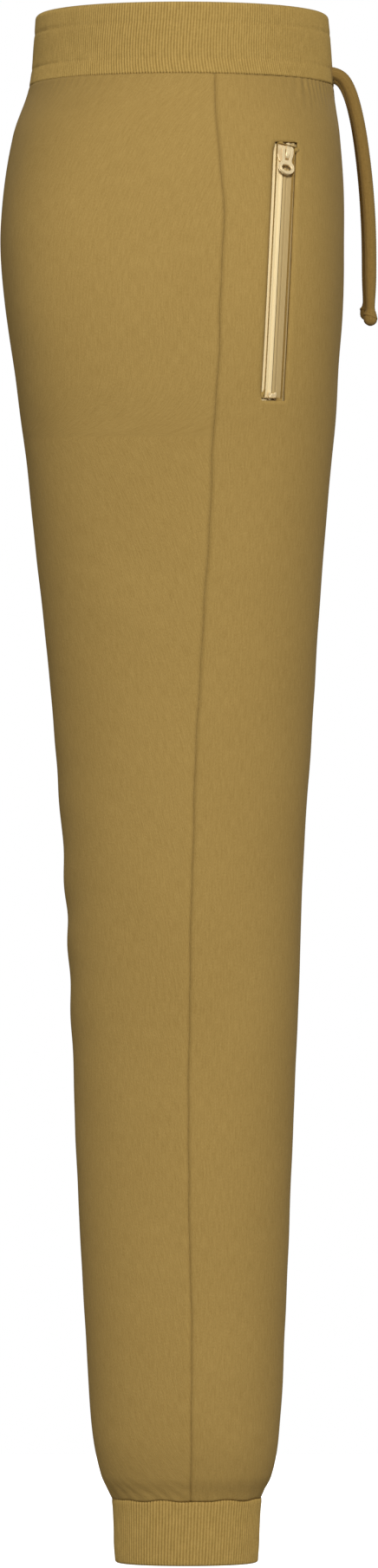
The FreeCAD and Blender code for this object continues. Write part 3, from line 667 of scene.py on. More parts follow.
def metal_material():
    """Satin plated metal in a pale champagne tone, with the fine grain of a cast part."""
    material, _, add, feed = new_material("zip_metal", (0.88, 0.70, 0.40), 0.34, 0, 0.35, 0.6)
    grain = noise_node(add, add("ShaderNodeTexCoord").outputs["Object"], 900.0, 3.0)
    feed("Roughness", ranged(add, grain, To_Min=0.28, To_Max=0.44))
    feed("Base Color", mixed(add, grain, (0.80, 0.62, 0.34), (0.94, 0.77, 0.46)))
    feed("Normal", bumped(add, grain, 0.12, 0.0002))
    return material


def coil_material():
    """Moulded coil: slightly clear plastic with a fine turn every millimetre or so."""
    material, _, add, feed = new_material("zip_coil", (0.52, 0.37, 0.17), 0.35, 0, 0, 0.5)
    turns = wave_node(add, "Z", add("ShaderNodeTexCoord").outputs["Object"], 280.0)
    feed("Base Color", mixed(add, turns, (0.36, 0.25, 0.11), (0.60, 0.44, 0.22)))
    feed("Normal", bumped(add, turns, 0.8, 0.0004))
    return material


# The tape is one colour: the front half takes a darker copy of it, painted shade from the window's front
# edge.
tape_and_painted_shade_by_half = {"back": tape_material("zip_tape_cream", (0.80, 0.62, 0.31), (0.94, 0.77, 0.44)),
                 "front": tape_material("zip_tape_painted_shade", (0.40, 0.28, 0.11), (0.56, 0.41, 0.18))}
zip_metal, zip_coil = metal_material(), coil_material()


def painted(piece, material):
    """Gives a piece one material in place of what it had."""
    piece.data.materials.clear()
    piece.data.materials.append(material)


def finish_as(piece, material, body="garment", replaced=()):
    """Gives a piece its finish, fixes it to its body and hides the parts it replaces."""
    painted(piece, material)
    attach(piece, body)
    if replaced:
        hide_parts(*replaced)
    return piece


for piece in cords:
    piece.data.materials.append(cord_knit)
print("materials", len(bpy.data.materials))

# %% [markdown]
# ## The zip's line
#
# The pocket zip lies in the front panel, a little forward of the side seam, and follows the hip in
# one long arc. The slider in the engineering model turns about that arc's centre, so the centre and
# the axis come from its joint. Everything on the zip is then placed by three numbers: how far down
# the zip, how far across it towards the front, and how far out of the fabric.

# %% Zip line
ZIP_TOP_DROP, ZIP_BOTTOM_DROP = 95.0, 265.0
ZIP_TOP_FRONT, ZIP_BOTTOM_FRONT = 70.0, 61.0
SLIDER_LENGTH, SLIDER_WIDTH = 12.5, 12.0
WINDOW_WIDTH, WINDOW_EASE = 14.0, 0.6
TAPE_FACE, TAPE_THICKNESS = -3.2, 0.6
PLATE_FACE = -1.75
ZIP_END_REACH = 7.1

zip_joint = next(j for j in frame["joints"] if j["name"] == "right_zip_slide")
zip_centre = np.array(zip_joint["pos_m"])
zip_axis = np.array(zip_joint["axis"])


def surface_frame(drop, turn):
    """Down the cloth and straight out of it, at any drop and turn."""
    along = skin(drop, np.asarray(turn) + 0.5) - skin(drop, np.asarray(turn) - 0.5)
    down = skin(np.asarray(drop) + 0.5, turn) - skin(np.asarray(drop) - 0.5, turn)
    return unit(down), unit(np.cross(down, along))


middle_drop = (ZIP_TOP_DROP + ZIP_BOTTOM_DROP) / 2
middle_turn = turn_at(middle_drop, (ZIP_TOP_FRONT + ZIP_BOTTOM_FRONT) / 2)
zip_top = skin(ZIP_TOP_DROP, turn_at(ZIP_TOP_DROP, ZIP_TOP_FRONT))
zip_bottom = skin(ZIP_BOTTOM_DROP, turn_at(ZIP_BOTTOM_DROP, ZIP_BOTTOM_FRONT))
zip_radius = np.linalg.norm(zip_top - zip_centre)
zip_spoke = unit(zip_top - zip_centre)
zip_length = zip_radius * math.acos(np.dot(zip_spoke, unit(zip_bottom - zip_centre))) / MM
middle_out = surface_frame(middle_drop, middle_turn)[1]
middle_spoke = unit(skin(middle_drop, middle_turn) - zip_centre)
zip_tilt = math.atan2(np.dot(middle_out, zip_axis), np.dot(middle_out, middle_spoke))


def zip_directions(station):
    """Down the zip, across it towards the front, and out of the fabric, at stations in mm."""
    turn = (np.asarray(station, dtype=float) * MM / zip_radius)[..., None]
    spoke = zip_spoke * np.cos(turn) + np.cross(zip_axis, zip_spoke) * np.sin(turn)
    down = np.cross(zip_axis, spoke)
    out = spoke * math.cos(zip_tilt) + zip_axis * math.sin(zip_tilt)
    across = zip_axis * math.cos(zip_tilt) - spoke * math.sin(zip_tilt)
    return spoke, down, across, out


def zip_point(station, across, out):
    """A point given by station, across and out, all in mm."""
    station, across, out = np.broadcast_arrays(*[np.asarray(v, dtype=float) for v in (station, across, out)])
    spoke, _, side, face = zip_directions(station)
    return zip_centre + spoke * zip_radius + (side * across[..., None] + face * out[..., None]) * MM


def on_skin(station, across):
    """The drop and the turn of the cloth's surface under a place on the zip."""
    flat = zip_point(station, across, 0.0)
    drop = -flat[..., 2] / MM
    return drop, turn_at(drop, -flat[..., 1] / MM)


print("zip length", round(zip_length, 2), "radius", round(zip_radius, 4),
      "tilt", round(math.degrees(zip_tilt), 2))

# %% [markdown]
# ## Leg panels
#
# Each leg is a front panel and a back panel. Fleece is thick and soft, so it doesn't crease. Its
# detail is in how it is sewn: along every seam the cloth is pulled down into a narrow ditch, with a
# soft roll on each side. Under the waistband and above the cuff there is more cloth than the rib
# needs, so it gathers into small upright puckers. A few very soft folds run from the crotch and
# behind the knee. All of it is worked into the outer face, and the inner face follows at the
# cloth's thickness. The trousers hang still, so the draft's own shape stands in for a simulation.


# %% Panels
def wander(points, size, seed):
    """Slow, irregular values between about -1 and 1, by place, the same on every run."""
    flat = (points / size).reshape(-1, 3) + seed
    return np.array([noise.noise(Vector(p)) for p in flat]).reshape(points.shape[:-1]) * 1.6


def cuff_wave(points):
    """How far the cuff's seam wanders up and down round the leg, in metres."""
    turn = np.arctan2(points[..., 1] + 0.0035, points[..., 0] + 0.104)
    return 0.00045 * np.sin(7 * turn + 0.8) + 0.00035 * np.sin(12 * turn)


FLEECE = 1.6
WINDOW_TOP, WINDOW_BOTTOM = 93.2, 266.6
HOLE_COLUMNS = (12, 18)
LAP = 1.4               # how far the rolled edge reaches over the panel beside the window
drops = np.concatenate([
    np.linspace(BAND_HEIGHT + 0.06, WINDOW_TOP, 26)[:-1],
    np.linspace(WINDOW_TOP, WINDOW_BOTTOM, 66)[:-1],
    np.linspace(WINDOW_BOTTOM, 330, 25)[:-1],
    np.linspace(330, 950, 190)[:-1],
    np.linspace(950, CUFF_SEAM_DROP - 0.06, 34)])


def seam_wave(drop):
    """The side seam's small wander, in degrees."""
    return 0.16 * np.sin(drop / 17.0) + 0.12 * np.sin(drop / 7.3 + 1.0)


def front_turns():
    """The front panel's columns: two of them run along the edges of the zip's window."""
    side = side_turn(drops) + seam_wave(drops) + 0.03
    end = centre_turn(drops, True)
    stations = np.linspace(-3, zip_length + 3, 60)
    share = np.clip((drops - 280) / 140, 0, 1)
    share = share * share * (3 - 2 * share)
    edges = [side]
    for column, across in zip(HOLE_COLUMNS, (-WINDOW_WIDTH / 2 - LAP, WINDOW_WIDTH / 2 + LAP)):
        line = zip_point(stations, across, 0.0)
        at_zip = turn_at(drops, np.interp(drops, -line[:, 2] / MM, -line[:, 1] / MM))
        even = side + (end - side) * column / 84
        edges.append(at_zip * (1 - share) + even * share)
    edges.append(end)
    columns = []
    for start, stop, count in zip(edges, edges[1:], (HOLE_COLUMNS[0], HOLE_COLUMNS[1] - HOLE_COLUMNS[0], 67)):
        columns.append(start[:, None] + (stop - start)[:, None] * np.linspace(0, 1, count, endpoint=False))
    return np.concatenate(columns + [end[:, None]], axis=1)


def back_turns():
    side = side_turn(drops) + seam_wave(drops) - 0.03
    end = centre_turn(drops, False)
    return end[:, None] + (side - end)[:, None] * np.linspace(0, 1, 100)


def panel_relief(points, drop, turn, from_side, from_centre):
    """How far the sewn cloth stands off the draft, in metres."""
    under_band, above_cuff = drop - BAND_HEIGHT, CUFF_SEAM_DROP - drop
    around = distance_along(points, 1)
    ripple = np.sin(drop / 1.9 + 2.5 * wander(points, 0.02, 3.0))
    height = 0.0006 * wander(points, 0.11, 1.0) + 0.00025 * wander(points, 0.035, 9.0)
    for away, depth in ((from_side, 0.00045), (from_centre, 0.0010)):
        height -= depth * smooth_bump(away, 0.0011)
        height += 0.00028 * smooth_bump(away - 0.0042, 0.0026) * (0.75 + 0.25 * ripple)
    height -= 0.0002 * smooth_bump(under_band, 1.0)
    forward = np.clip(1 - np.abs(turn - 42) / 45, 0, 1)
    pucker = np.sin(around / 0.0013 + 3.0 * wander(points, 0.03, 5.0))
    height += (0.00022 + 0.00035 * forward) * np.exp(-np.abs(under_band - 4) / 9.0) * pucker
    height -= 0.0005 * smooth_bump(above_cuff, 1.3)
    gather = np.sin(around / 0.0017 + 2.6 * wander(points, 0.025, 7.0))
    height += 0.00024 * np.exp(-np.abs(above_cuff - 5) / 8.0) * gather
    crotch = points - np.array([0.0, 0.0, -CROTCH_DROP * MM])
    angle = np.arctan2(crotch[..., 2], -crotch[..., 0])
    near_crotch = smooth_bump(np.hypot(crotch[..., 0], crotch[..., 2] * 0.8), 0.085)
    height += 0.0011 * near_crotch * np.sin(8 * angle + 0.6)
    knee = smooth_bump(drop - 610, 95.0) * smooth_bump(turn + 105, 48.0)
    return height + 0.0008 * knee * np.sin(drop / 7.4 + turn / 40 + wander(points, 0.08, 4.0))


def window_distance(points):
    """Distance outward from the zip's window over the cloth, in mm."""
    stations = np.linspace(-3, zip_length + 3, 60)
    line = zip_point(stations, 0.0, 0.0)
    drop = -points[..., 2] / MM
    across = (-points[..., 1] / MM - np.interp(drop, -line[:, 2] / MM, -line[:, 1] / MM)) / 0.89
    past_side = np.maximum(np.abs(across) - WINDOW_WIDTH / 2, 0)
    past_end = np.maximum(np.maximum(-line[3, 2] / MM - 1.2 - drop, drop + line[-3, 2] / MM), 0)
    return np.hypot(past_side, past_end), across


def edge_dip(away, across):
    """How far the cloth sinks at the window's back edge, where it lies closest to the tape, in mm."""
    return 1.3 * np.exp(-(away / 5.0) ** 2) * np.clip(-across / (WINDOW_WIDTH / 2), 0, 1)


def leg_panel(name, turns, front):
    points = skin(drops[:, None], turns)
    drop = np.broadcast_to(drops[:, None], turns.shape)
    walked = distance_along(points, 1)
    total = walked[:, -1:]
    from_side, from_centre = (walked, total - walked) if front else (total - walked, walked)
    height = panel_relief(points, drop, turns, from_side, from_centre)
    keep = None
    if front:
        away, across = window_distance(points)
        height += -0.0006 * smooth_bump(away - 0.6, 1.9) + 0.0003 * smooth_bump(away - 4.6, 1.8)
        height -= edge_dip(away, across) * MM
        keep = np.ones((len(drops) - 1, turns.shape[1] - 1), dtype=bool)
        rows = (drops[:-1] > WINDOW_TOP - 0.01) & (drops[1:] < WINDOW_BOTTOM + 0.01)
        keep[np.ix_(rows, np.arange(*HOLE_COLUMNS))] = False
    normal = surface_normals(points, drop)
    outer = points + normal * height[..., None]
    outer[..., 2] += cuff_wave(outer) * np.exp(-(CUFF_SEAM_DROP - drop) / 4.0)
    outer[..., 0] = np.minimum(outer[..., 0], -SEAM_GAP / 2 * MM)
    inner = outer - normal * FLEECE * MM
    inner[..., 0] = np.minimum(inner[..., 0], -SEAM_GAP / 2 * MM)
    return thick_sheet(name, outer, inner, keep)


def mirrored(piece, name):
    """The same piece on the wearer's left."""
    mesh = piece.data.copy()
    mesh.name = name
    at = np.zeros(len(mesh.vertices) * 3)
    mesh.vertices.foreach_get("co", at)
    at[0::3] *= -1
    mesh.vertices.foreach_set("co", at)
    mesh.flip_normals()
    twin = bpy.data.objects.new(name, mesh)
    bpy.context.collection.objects.link(twin)
    return twin


def pair(piece):
    """A right piece and its mirror, named for their sides."""
    base = piece.name
    piece.name = "right_" + base
    return {"right": piece, "left": mirrored(piece, "left_" + base)}


FRONT_FLAT, FRONT_AREA = (0.31, 0.97), 0.222
BACK_FLAT, BACK_AREA = (0.35, 0.97), 0.250
panels = {"front": pair(leg_panel("front_leg", front_turns(), True)),
          "back": pair(leg_panel("back_leg", back_turns(), False))}
for which, sides in panels.items():
    for side, piece in sides.items():
        finish_as(piece, fleece, replaced=[f"{side}_{which}_panel"])
print("front leg points", len(panels["front"]["right"].data.vertices))

# %% [markdown]
# ## Waistband
#
# The waistband is a strip of rib, folded over wide elastic. Two rows of stitching run right round:
# one a little below the fold, and one that closes off a channel for the cord. The elastic pulls the
# rib together, so that its columns stand close and the stitching sinks into the cloth.


# %% Ribbed rings
def waist_loop(drop, inset, count):
    """Points evenly round the waist at one drop, from the centre back."""
    right = skin(drop, np.linspace(-88, 88, 240), inset)
    left = (right * np.array([-1, 1, 1]))[::-1]
    return evenly_round(np.concatenate([right, left]), count)


def leg_loop(drop, inset, count):
    """Points evenly round the right leg at one drop."""
    return evenly_round(skin(drop, np.linspace(-180, 180, 240, endpoint=False), inset), count)


def evenly_round(loop, count):
    """Evenly spaced points round a closed line."""
    closed = looped(loop)
    gone = travelled(closed)
    return read_at(np.linspace(0, gone[-1], count, endpoint=False), gone, closed)


def round_normals(loops):
    """Level directions out of a stack of closed loops."""
    along = np.roll(loops, -1, axis=1) - np.roll(loops, 1, axis=1)
    out = unit(np.stack([along[..., 1], -along[..., 0], np.zeros(along.shape[:-1])], axis=-1))
    hub = loops.mean(axis=1, keepdims=True)
    return out * np.sign(np.median(np.sum(out * (loops - hub), axis=-1)))


def rib_count(loops, drop, ribs, slant=0.0):
    """How many ribs have gone by at each point, counted round the ring."""
    count = loops.shape[1]
    place = np.arange(count)[None, :] / count + slant * (drop[:, None] - drop.min()) / 1000
    return ribs * place + 0.04 * wander(loops, 0.012, 2.0)


def ribbed(loops, normals, facing, counted, depth):
    """Loops raised into upright ribs. facing is 1 on the outside of the garment and -1 inside it."""
    wave = np.cos(2 * math.pi * counted)
    return loops + normals * (facing[:, None] * depth * (np.abs(wave + 1) ** 0.7 - 1.1))[..., None]


def folded_profile(start, stop, total, ply):
    """Drop, inset and facing round the section of a folded strip. Its fold is at stop."""
    half = total / 2
    sign = 1 if stop > start else -1
    outside = [(d, 0.0, 1.0) for d in np.linspace(start, stop - sign * half, 34)]
    fold = [(stop - sign * half + sign * half * math.sin(a), half - half * math.cos(a), math.cos(a))
            for a in np.linspace(0, math.pi, 9)[1:-1]]
    inside = [(d, total, -1.0) for d in np.linspace(stop - sign * half, start, 18)]
    back = [(d, total - ply, 0.0) for d in np.linspace(start, stop - sign * (half + ply), 6)]
    front = [(d, ply, 0.0) for d in np.linspace(stop - sign * (half + ply), start, 6)]
    return np.array(outside + fold + inside + back + front)


UPPER_STITCH, LOWER_STITCH = 13.5, 37.3
WAIST_RIBS, CUFF_RIBS, SAMPLES = 396, 134, 4
profile = folded_profile(BAND_HEIGHT, 0.0, 5.6, 1.4)
loops = np.stack([waist_loop(d, i, WAIST_RIBS * SAMPLES) for d, i, _ in profile])
normals = round_normals(loops)
drop, facing = profile[:, 0], profile[:, 2]
gather = wander(loops, 0.011, 6.0) + 0.6 * wander(loops, 0.03, 8.0)
sunk = smooth_bump(drop - UPPER_STITCH, 1.2) + smooth_bump(drop - LOWER_STITCH, 1.2)
tight = np.exp(-np.minimum(np.abs(drop - UPPER_STITCH), np.abs(drop - LOWER_STITCH)) / 5.0)
lift = -0.00035 * sunk + 0.00018 * smooth_bump(drop - 24, 9.0) - 0.0002 * smooth_bump(drop - BAND_HEIGHT, 0.9)
lift = lift[:, None]
lift = (lift + 0.00018 * tight[:, None] * gather) * (facing > 0.5)[:, None]
eyelet_drop, EYELET_SPREAD, EYELET_BORE = 41.0, 22.0, 4.6
eyelet_places = []
for sign in (-1, 1):
    level = waist_loop(eyelet_drop, 0.0, 4000)
    candidates = level[level[:, 1] < 0]
    eyelet_places.append(candidates[np.argmin(np.abs(candidates[:, 0] - sign * EYELET_SPREAD * MM))])
counted = rib_count(loops, drop, WAIST_RIBS)
shaped = ribbed(loops, normals, facing * np.abs(facing), counted, 0.00045) + normals * lift[..., None]
for place in eyelet_places:
    near = np.linalg.norm(loops - place, axis=-1)
    pit = np.clip((EYELET_BORE * MM - near) / 0.0012, 0, 1) * (facing > 0.5)[:, None]
    shaped -= normals * (pit * 0.0016)[..., None]
waistband = ring_sheet("ribbed_waistband", shaped, counted)
finish_as(waistband, rib_knit, replaced=["waistband"])
print("waistband points", len(waistband.data.vertices))

# %% [markdown]
# ## Cuffs
#
# The cuffs are the same rib, folded at the hem and stretched on to the leg, which gathers above
# them. Stretching opens the rib, so its columns are a little wider here and lean where the seam
# pulls on them.

# %% Cuffs
profile = folded_profile(CUFF_SEAM_DROP, OUTSEAM, 3.3, 1.4)
loops = np.stack([leg_loop(d, i, CUFF_RIBS * SAMPLES) for d, i, _ in profile])
normals = round_normals(loops)
drop, facing = profile[:, 0], profile[:, 2]
bulge = np.sin(np.clip((drop - CUFF_SEAM_DROP) / (OUTSEAM - CUFF_SEAM_DROP), 0, 1) * math.pi)
lift = ((0.0005 * bulge - 0.0004 * smooth_bump(drop - CUFF_SEAM_DROP, 1.2)) * (facing > 0.5))[:, None]
lift = lift + 0.00012 * wander(loops, 0.014, 4.0) * (facing > 0.5)[:, None]
counted = rib_count(loops, drop, CUFF_RIBS, 0.12)
shaped = ribbed(loops, normals, facing * np.abs(facing), counted, 0.00045) + normals * lift[..., None]
shaped[..., 2] += cuff_wave(shaped) * np.exp(-(drop - CUFF_SEAM_DROP) / 4.0)[:, None]
cuffs = pair(ring_sheet("ribbed_cuff", shaped, counted))
for side, piece in cuffs.items():
    finish_as(piece, rib_knit, replaced=[side + "_cuff"])
print("cuff points", len(piece.data.vertices))

# %% [markdown]
# ## Stitches
#
# Topstitching is a row of short, slightly arched threads that sink at both ends. One small thread,
# repeated along a line, reads as sewing at any distance and costs little.


# %% Stitches, eyelets and the window's rolled edge
def stitches(name, points, out, pitch=3.1, length=2.3, radius=0.17):
    """Short threads along a line of points, lying on the side that out faces. Sizes in mm."""
    gone = travelled(points) / MM
    count = int(gone[-1] / pitch)
    at = (np.arange(count) + 0.5) * gone[-1] / count
    t = np.linspace(-1, 1, 7)
    turn = full_turn(6)
    place = at[:, None] + t * length / 2
    centre, face = read_at(place, gone, points), read_at(place, gone, out)
    side = unit(np.cross(np.gradient(centre, axis=1), face))
    centre = centre + face * ((0.30 - 0.45 * t ** 2) * radius * 2 * MM)[None, :, None]
    girth = radius * MM * np.sqrt(np.maximum(1 - 0.96 * t ** 6, 0.04))
    spoke = side[:, :, None] * np.cos(turn)[:, None] + face[:, :, None] * np.sin(turn)[:, None]
    ring = centre[:, :, None] + spoke * girth[None, :, None, None]
    one = grid_faces(7, 6, closed=True)
    faces = np.concatenate([one + 42 * i for i in range(count)])
    caps = [tuple(42 * i + np.arange(6)[::-1]) for i in range(count)]
    caps += [tuple(42 * i + 36 + np.arange(6)) for i in range(count)]
    flat = ring.reshape(-1, 3)
    uv = np.stack([np.tile(turn * girth.mean(), count * 7), np.repeat(place.ravel() * MM, 6)], axis=-1)
    return outward(new_object(name, flat, [tuple(f) for f in faces] + caps, uv))


for name, level in (("upper_band_stitches", UPPER_STITCH), ("lower_band_stitches", LOWER_STITCH)):
    loop = looped(waist_loop(level, 0.75, 1200))
    out = round_normals(loop[None])[0]
    out[[0, -1]] = out[1]
    row = stitches(name, loop, out)
    finish_as(row, thread)


def sewn_eyelet(name, centre, out):
    """A ring of close buttonhole stitches round the cord's hole."""
    side = unit(np.cross(out, (0.0, 0.0, 1.0)))
    up = np.cross(side, out)
    a, b = np.meshgrid(full_turn(176), full_turn(12), indexing="ij")
    wrap = 1 + 0.09 * np.cos(44 * a)
    reach = (EYELET_BORE + 0.85 + 0.95 * wrap * np.cos(b)) * MM
    rise = (0.25 + 0.62 * wrap * np.sin(b)) * MM
    spoke = side * np.cos(a)[..., None] + up * np.sin(a)[..., None]
    points = centre + spoke * reach[..., None] + out * rise[..., None]
    faces = grid_faces(177, 12, closed=True) % (176 * 12)
    uv = np.stack([a * 0.006, b * 0.001], axis=-1).reshape(-1, 2)
    return outward(new_object(name, points.reshape(-1, 3), faces, uv))


for side, sign, place in (("right", -1, eyelet_places[0]), ("left", 1, eyelet_places[1])):
    out = unit(np.array([sign * 0.087, -0.991, 0.101]))
    ring = sewn_eyelet(side + "_sewn_eyelet", place, out)
    finish_as(ring, eyelet_thread, replaced=[side + "_eyelet"])


def window_line(reach, count):
    """Station and across round the zip's window, reach mm outside it, with rounded corners."""
    half, start, stop = WINDOW_WIDTH / 2 + reach, -WINDOW_EASE - reach, zip_length + WINDOW_EASE + reach
    corner = max(0.9 + reach, 0.3)
    path = []
    for station, across, first in ((start, -half, 180), (start, half, 90),
                                   (stop, half, 0), (stop, -half, -90)):
        centre = (station + corner * (1 if station == start else -1), across - corner * np.sign(across))
        for a in np.radians(np.linspace(first, first - 90, 9)):
            path.append((centre[0] + corner * math.cos(a), centre[1] + corner * math.sin(a)))
    return evenly_round(np.array(path), count).T


def on_window(reach, height, count=560):
    """Points round the window on the cloth, height mm off it."""
    station, across = window_line(reach, count)
    drop, turn = on_skin(station, across)
    out = surface_frame(drop, turn)[1]
    settled_height = np.maximum(height - edge_dip(np.maximum(reach, 0), across), np.minimum(height, -2.7))
    return skin(drop, turn) + out * (settled_height * MM)[:, None], out


ROLL = [(3.3, -0.9), (2.9, -0.25), (2.45, 0.02), (1.9, 0.22), (1.2, 0.30), (0.6, 0.18), (0.1, -0.2),
        (-0.15, -0.8), (-0.1, -1.4), (0.3, -1.9), (1.0, -2.1), (2.2, -1.9), (3.2, -1.5)]
rolled = np.stack([on_window(reach, height)[0] for reach, height in ROLL])
rolled += np.random.default_rng(4).normal(0, 0.00001, rolled.shape)
edges = pair(ring_sheet("rolled_window_edge", rolled))
line, out = on_window(2.3, 0.0)
threads = pair(stitches("window_stitches", looped(line), looped(out), 2.9, 2.1, 0.16))
trims = {"right": [], "left": []}
for side in trims:
    finish_as(edges[side], fleece, replaced=[side + "_zip_window_welt"])
    finish_as(threads[side], thread)
    trims[side] += [edges[side], threads[side]]
print("window edge points", len(edges["right"].data.vertices))

# %% [markdown]
# ## Zip tape
#
# The zip is the reversed kind: its coil is sewn to the back, so from the front only the two woven
# tapes show, meeting at a fine line. Each tape has a soft ridge over the coil, then the narrow
# groove of the stitching that holds it, then flat satin. The tape is woven from shiny filament and
# is paler than the fleece. As the slider goes down each half draws back to its side of the window.


# %% Tape halves
def tape_half(name, sign):
    """One half of the tape. sign is 1 for the front half and -1 for the back half."""
    station = np.linspace(-ZIP_END_REACH, zip_length + ZIP_END_REACH, 480)
    away = np.concatenate([np.linspace(0.15, 4.2, 26), np.linspace(4.4, 13.1, 20)])
    s, a = np.meshgrid(station, away, indexing="ij")
    dots = 0.5 + 0.5 * np.cos(2 * math.pi * s / 1.25)
    rise = 0.30 * smooth_bump(a - 1.25, 0.85) - 0.42 * smooth_bump(a - 2.75, 0.32) * (0.55 + 0.45 * dots)
    rise += 0.10 * smooth_bump(a - 2.0, 0.3) * dots - 0.20 * smooth_bump(a - 0.15, 0.25)
    if sign < 0:
        rise += 0.3 * np.clip((a - 3.2) / 1.6, 0, 1)
    rise += 0.05 * wander(np.stack([s, a, s * 0], axis=-1), 9.0, 3.0)
    drop, turn = on_skin(s, sign * a)
    gap = np.sum((skin(drop, turn) - zip_point(s, sign * a, 0.0)) * zip_directions(s)[3], axis=-1) / MM
    under_cloth = gap - edge_dip(a - WINDOW_WIDTH / 2, sign * a) - FLEECE - 0.7
    face = TAPE_FACE + rise
    face = np.where(a > WINDOW_WIDTH / 2 + 0.5, np.minimum(face, under_cloth), face)
    outer = zip_point(s, sign * a, face)
    inner = zip_point(s, sign * a, np.minimum(face, TAPE_FACE) - TAPE_THICKNESS)
    return thick_sheet(name, outer, inner)


# The front half of each tape gets the darker copy of the tape material: painted shade.
for half, sign, held_at, keep in (("front", 1, 15.0, 0.40), ("back", -1, 13.0, 0.45)):
    tapes = pair(tape_half("tape_half_" + half, sign))
    for side, flip in (("right", 1), ("left", -1)):
        finish_as(tapes[side], tape_and_painted_shade_by_half[half], replaced=[f"{side}_zip_tape_{half}"])
        coil = frame["nodes"][f"{side}_zip_coil_{half}"]
        painted(coil, zip_coil)
        for piece in (tapes[side], coil):
            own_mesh(piece)

# %% [markdown]
# ## Slider, pull tab and stops
#
# The slider is die-cast: two plates joined by a neck, with a bridge on top. Its shoulders are round
# and a small notch is left between them, where the two halves of the chain come out. The pull tab
# hooks under the bridge with two arms and ends in an oval ring, wide enough for a cord or a finger
# nail. Every edge is rounded, because the parts are tumbled before they are plated.


# %% Small metal pieces
def rounded(points, times=3):
    """A closed outline with its corners cut round."""
    outline = np.array(points, dtype=float)
    for _ in range(times):
        following = np.roll(outline, -1, axis=0)
        cuts = [outline * 0.75 + following * 0.25, outline * 0.25 + following * 0.75]
        outline = np.stack(cuts, 1).reshape(-1, 2)
    return outline


def both_sides(half):
    """A closed outline from one half of it, given as down and across."""
    return [*half, *[(x, -y) for x, y in half[::-1]]]


def stamped(name, outlines, low, high, edge):
    """A flat metal piece with holes and rounded edges, between two heights. Sizes in mm."""
    data = bpy.data.curves.new(name, "CURVE")
    data.dimensions = "2D"
    data.fill_mode = "BOTH"
    data.extrude = (high - low) / 2 - edge
    data.bevel_depth = edge
    data.bevel_resolution = 3
    for outline in outlines:
        spline = data.splines.new("POLY")
        spline.points.add(len(outline) - 1)
        for point, (x, y) in zip(spline.points, outline):
            point.co = (x, y, 0, 1)
        spline.use_cyclic_u = True
    source = linked(name, data)
    bpy.context.view_layer.update()
    mesh = bpy.data.meshes.new_from_object(source.evaluated_get(bpy.context.evaluated_depsgraph_get()))
    bpy.data.objects.remove(source)
    mesh.transform(Matrix.Translation((0, 0, (low + high) / 2)))
    mesh.polygons.foreach_set("use_smooth", np.ones(len(mesh.polygons), dtype=bool))
    return linked(name, mesh)


def blunted(values, power):
    """Sines or cosines pushed towards 1 and -1, which squares a round section."""
    return np.sign(values) * np.abs(values) ** power


def strap(name, path, width, thickness, around=16):
    """A bar of flattened section along a path of (down, out) points, centred across the zip."""
    path = np.array(path, dtype=float)
    heading = unit(np.gradient(path, axis=0))
    face = np.stack([-heading[:, 1], heading[:, 0]], axis=-1)
    turn = full_turn(around)
    across, rise = blunted(np.cos(turn), 0.55) * width / 2, blunted(np.sin(turn), 0.55) * thickness / 2
    x = path[:, :1] + face[:, :1] * rise
    z = path[:, 1:] + face[:, 1:] * rise
    points = np.stack([x, np.broadcast_to(across, x.shape), z], axis=-1).reshape(-1, 3)
    faces = [tuple(f) for f in grid_faces(len(path), around, closed=True)]
    faces += [tuple(range(around))[::-1], tuple((len(path) - 1) * around + i for i in range(around))]
    return outward(new_object(name, points, faces))


def zip_matrix(station):
    """The place of a piece drawn with X down the zip, Y across it and Z out, in mm."""
    middle = station + SLIDER_LENGTH / 2
    _, down, across, out = zip_directions(middle)
    at = zip_point(middle, 0, 0) - down * SLIDER_LENGTH / 2 * MM
    columns = [*(MM * np.stack([down, across, out], axis=1)).tolist()]
    return Matrix([[*row, at[i]] for i, row in enumerate(columns)] + [[0, 0, 0, 1]])


def settled(piece, station=0.0):
    """Moves a drawn piece to its place on the zip."""
    piece.data.transform(zip_matrix(station))
    piece.data.update()
    return piece


half_width = SLIDER_WIDTH / 2
body_half = [(1.5, 0.0), (0.7, 1.0), (0.05, 2.2), (0.0, 4.3), (0.7, 5.6), (2.4, half_width),
             (6.0, half_width), (9.0, 5.0), (SLIDER_LENGTH, 3.9), (SLIDER_LENGTH, 0.0)]
front_plate = stamped("slider_front", [rounded(both_sides(body_half))], TAPE_FACE + 0.42, PLATE_FACE, 0.42)
back_plate = stamped("slider_back", [rounded(both_sides(body_half))], -6.5, -5.4, 0.35)
neck = stamped("slider_neck", [rounded([(0.9, -0.7), (2.3, -0.7), (2.3, 0.7), (0.9, 0.7)])], -5.8, -2.4, 0.1)
flange = [(1.6, 3.5), (10.5, 3.2), (10.5, 4.2), (6.0, 5.6), (1.6, 5.4)]
flanges = [stamped("slider_flange", [rounded([(x, s * y) for x, y in flange])], -6.0, -4.15, 0.3)
           for s in (-1, 1)]
arch_turns = np.linspace(0, math.pi / 2, 7)
rise = [(2.2, PLATE_FACE - 0.3), (2.2, 0.6)]
rise += [(3.9 - 1.7 * math.cos(a), 0.8 + 1.6 * math.sin(a)) for a in arch_turns]
rise += [(x, 2.4 - 0.035 * (x - 5.5) ** 2 * (x > 5.5)) for x in (5.5, 7.2, 8.6)]
rise += [(8.8 + 1.9 * math.sin(a), 0.4 + 1.6 * math.cos(a)) for a in arch_turns] + [(10.8, PLATE_FACE - 0.3)]
bridge = strap("slider_bridge", rise, 2.6, 0.9)
slider = joined("slider_body", [front_plate, back_plate, neck, *flanges, bridge])

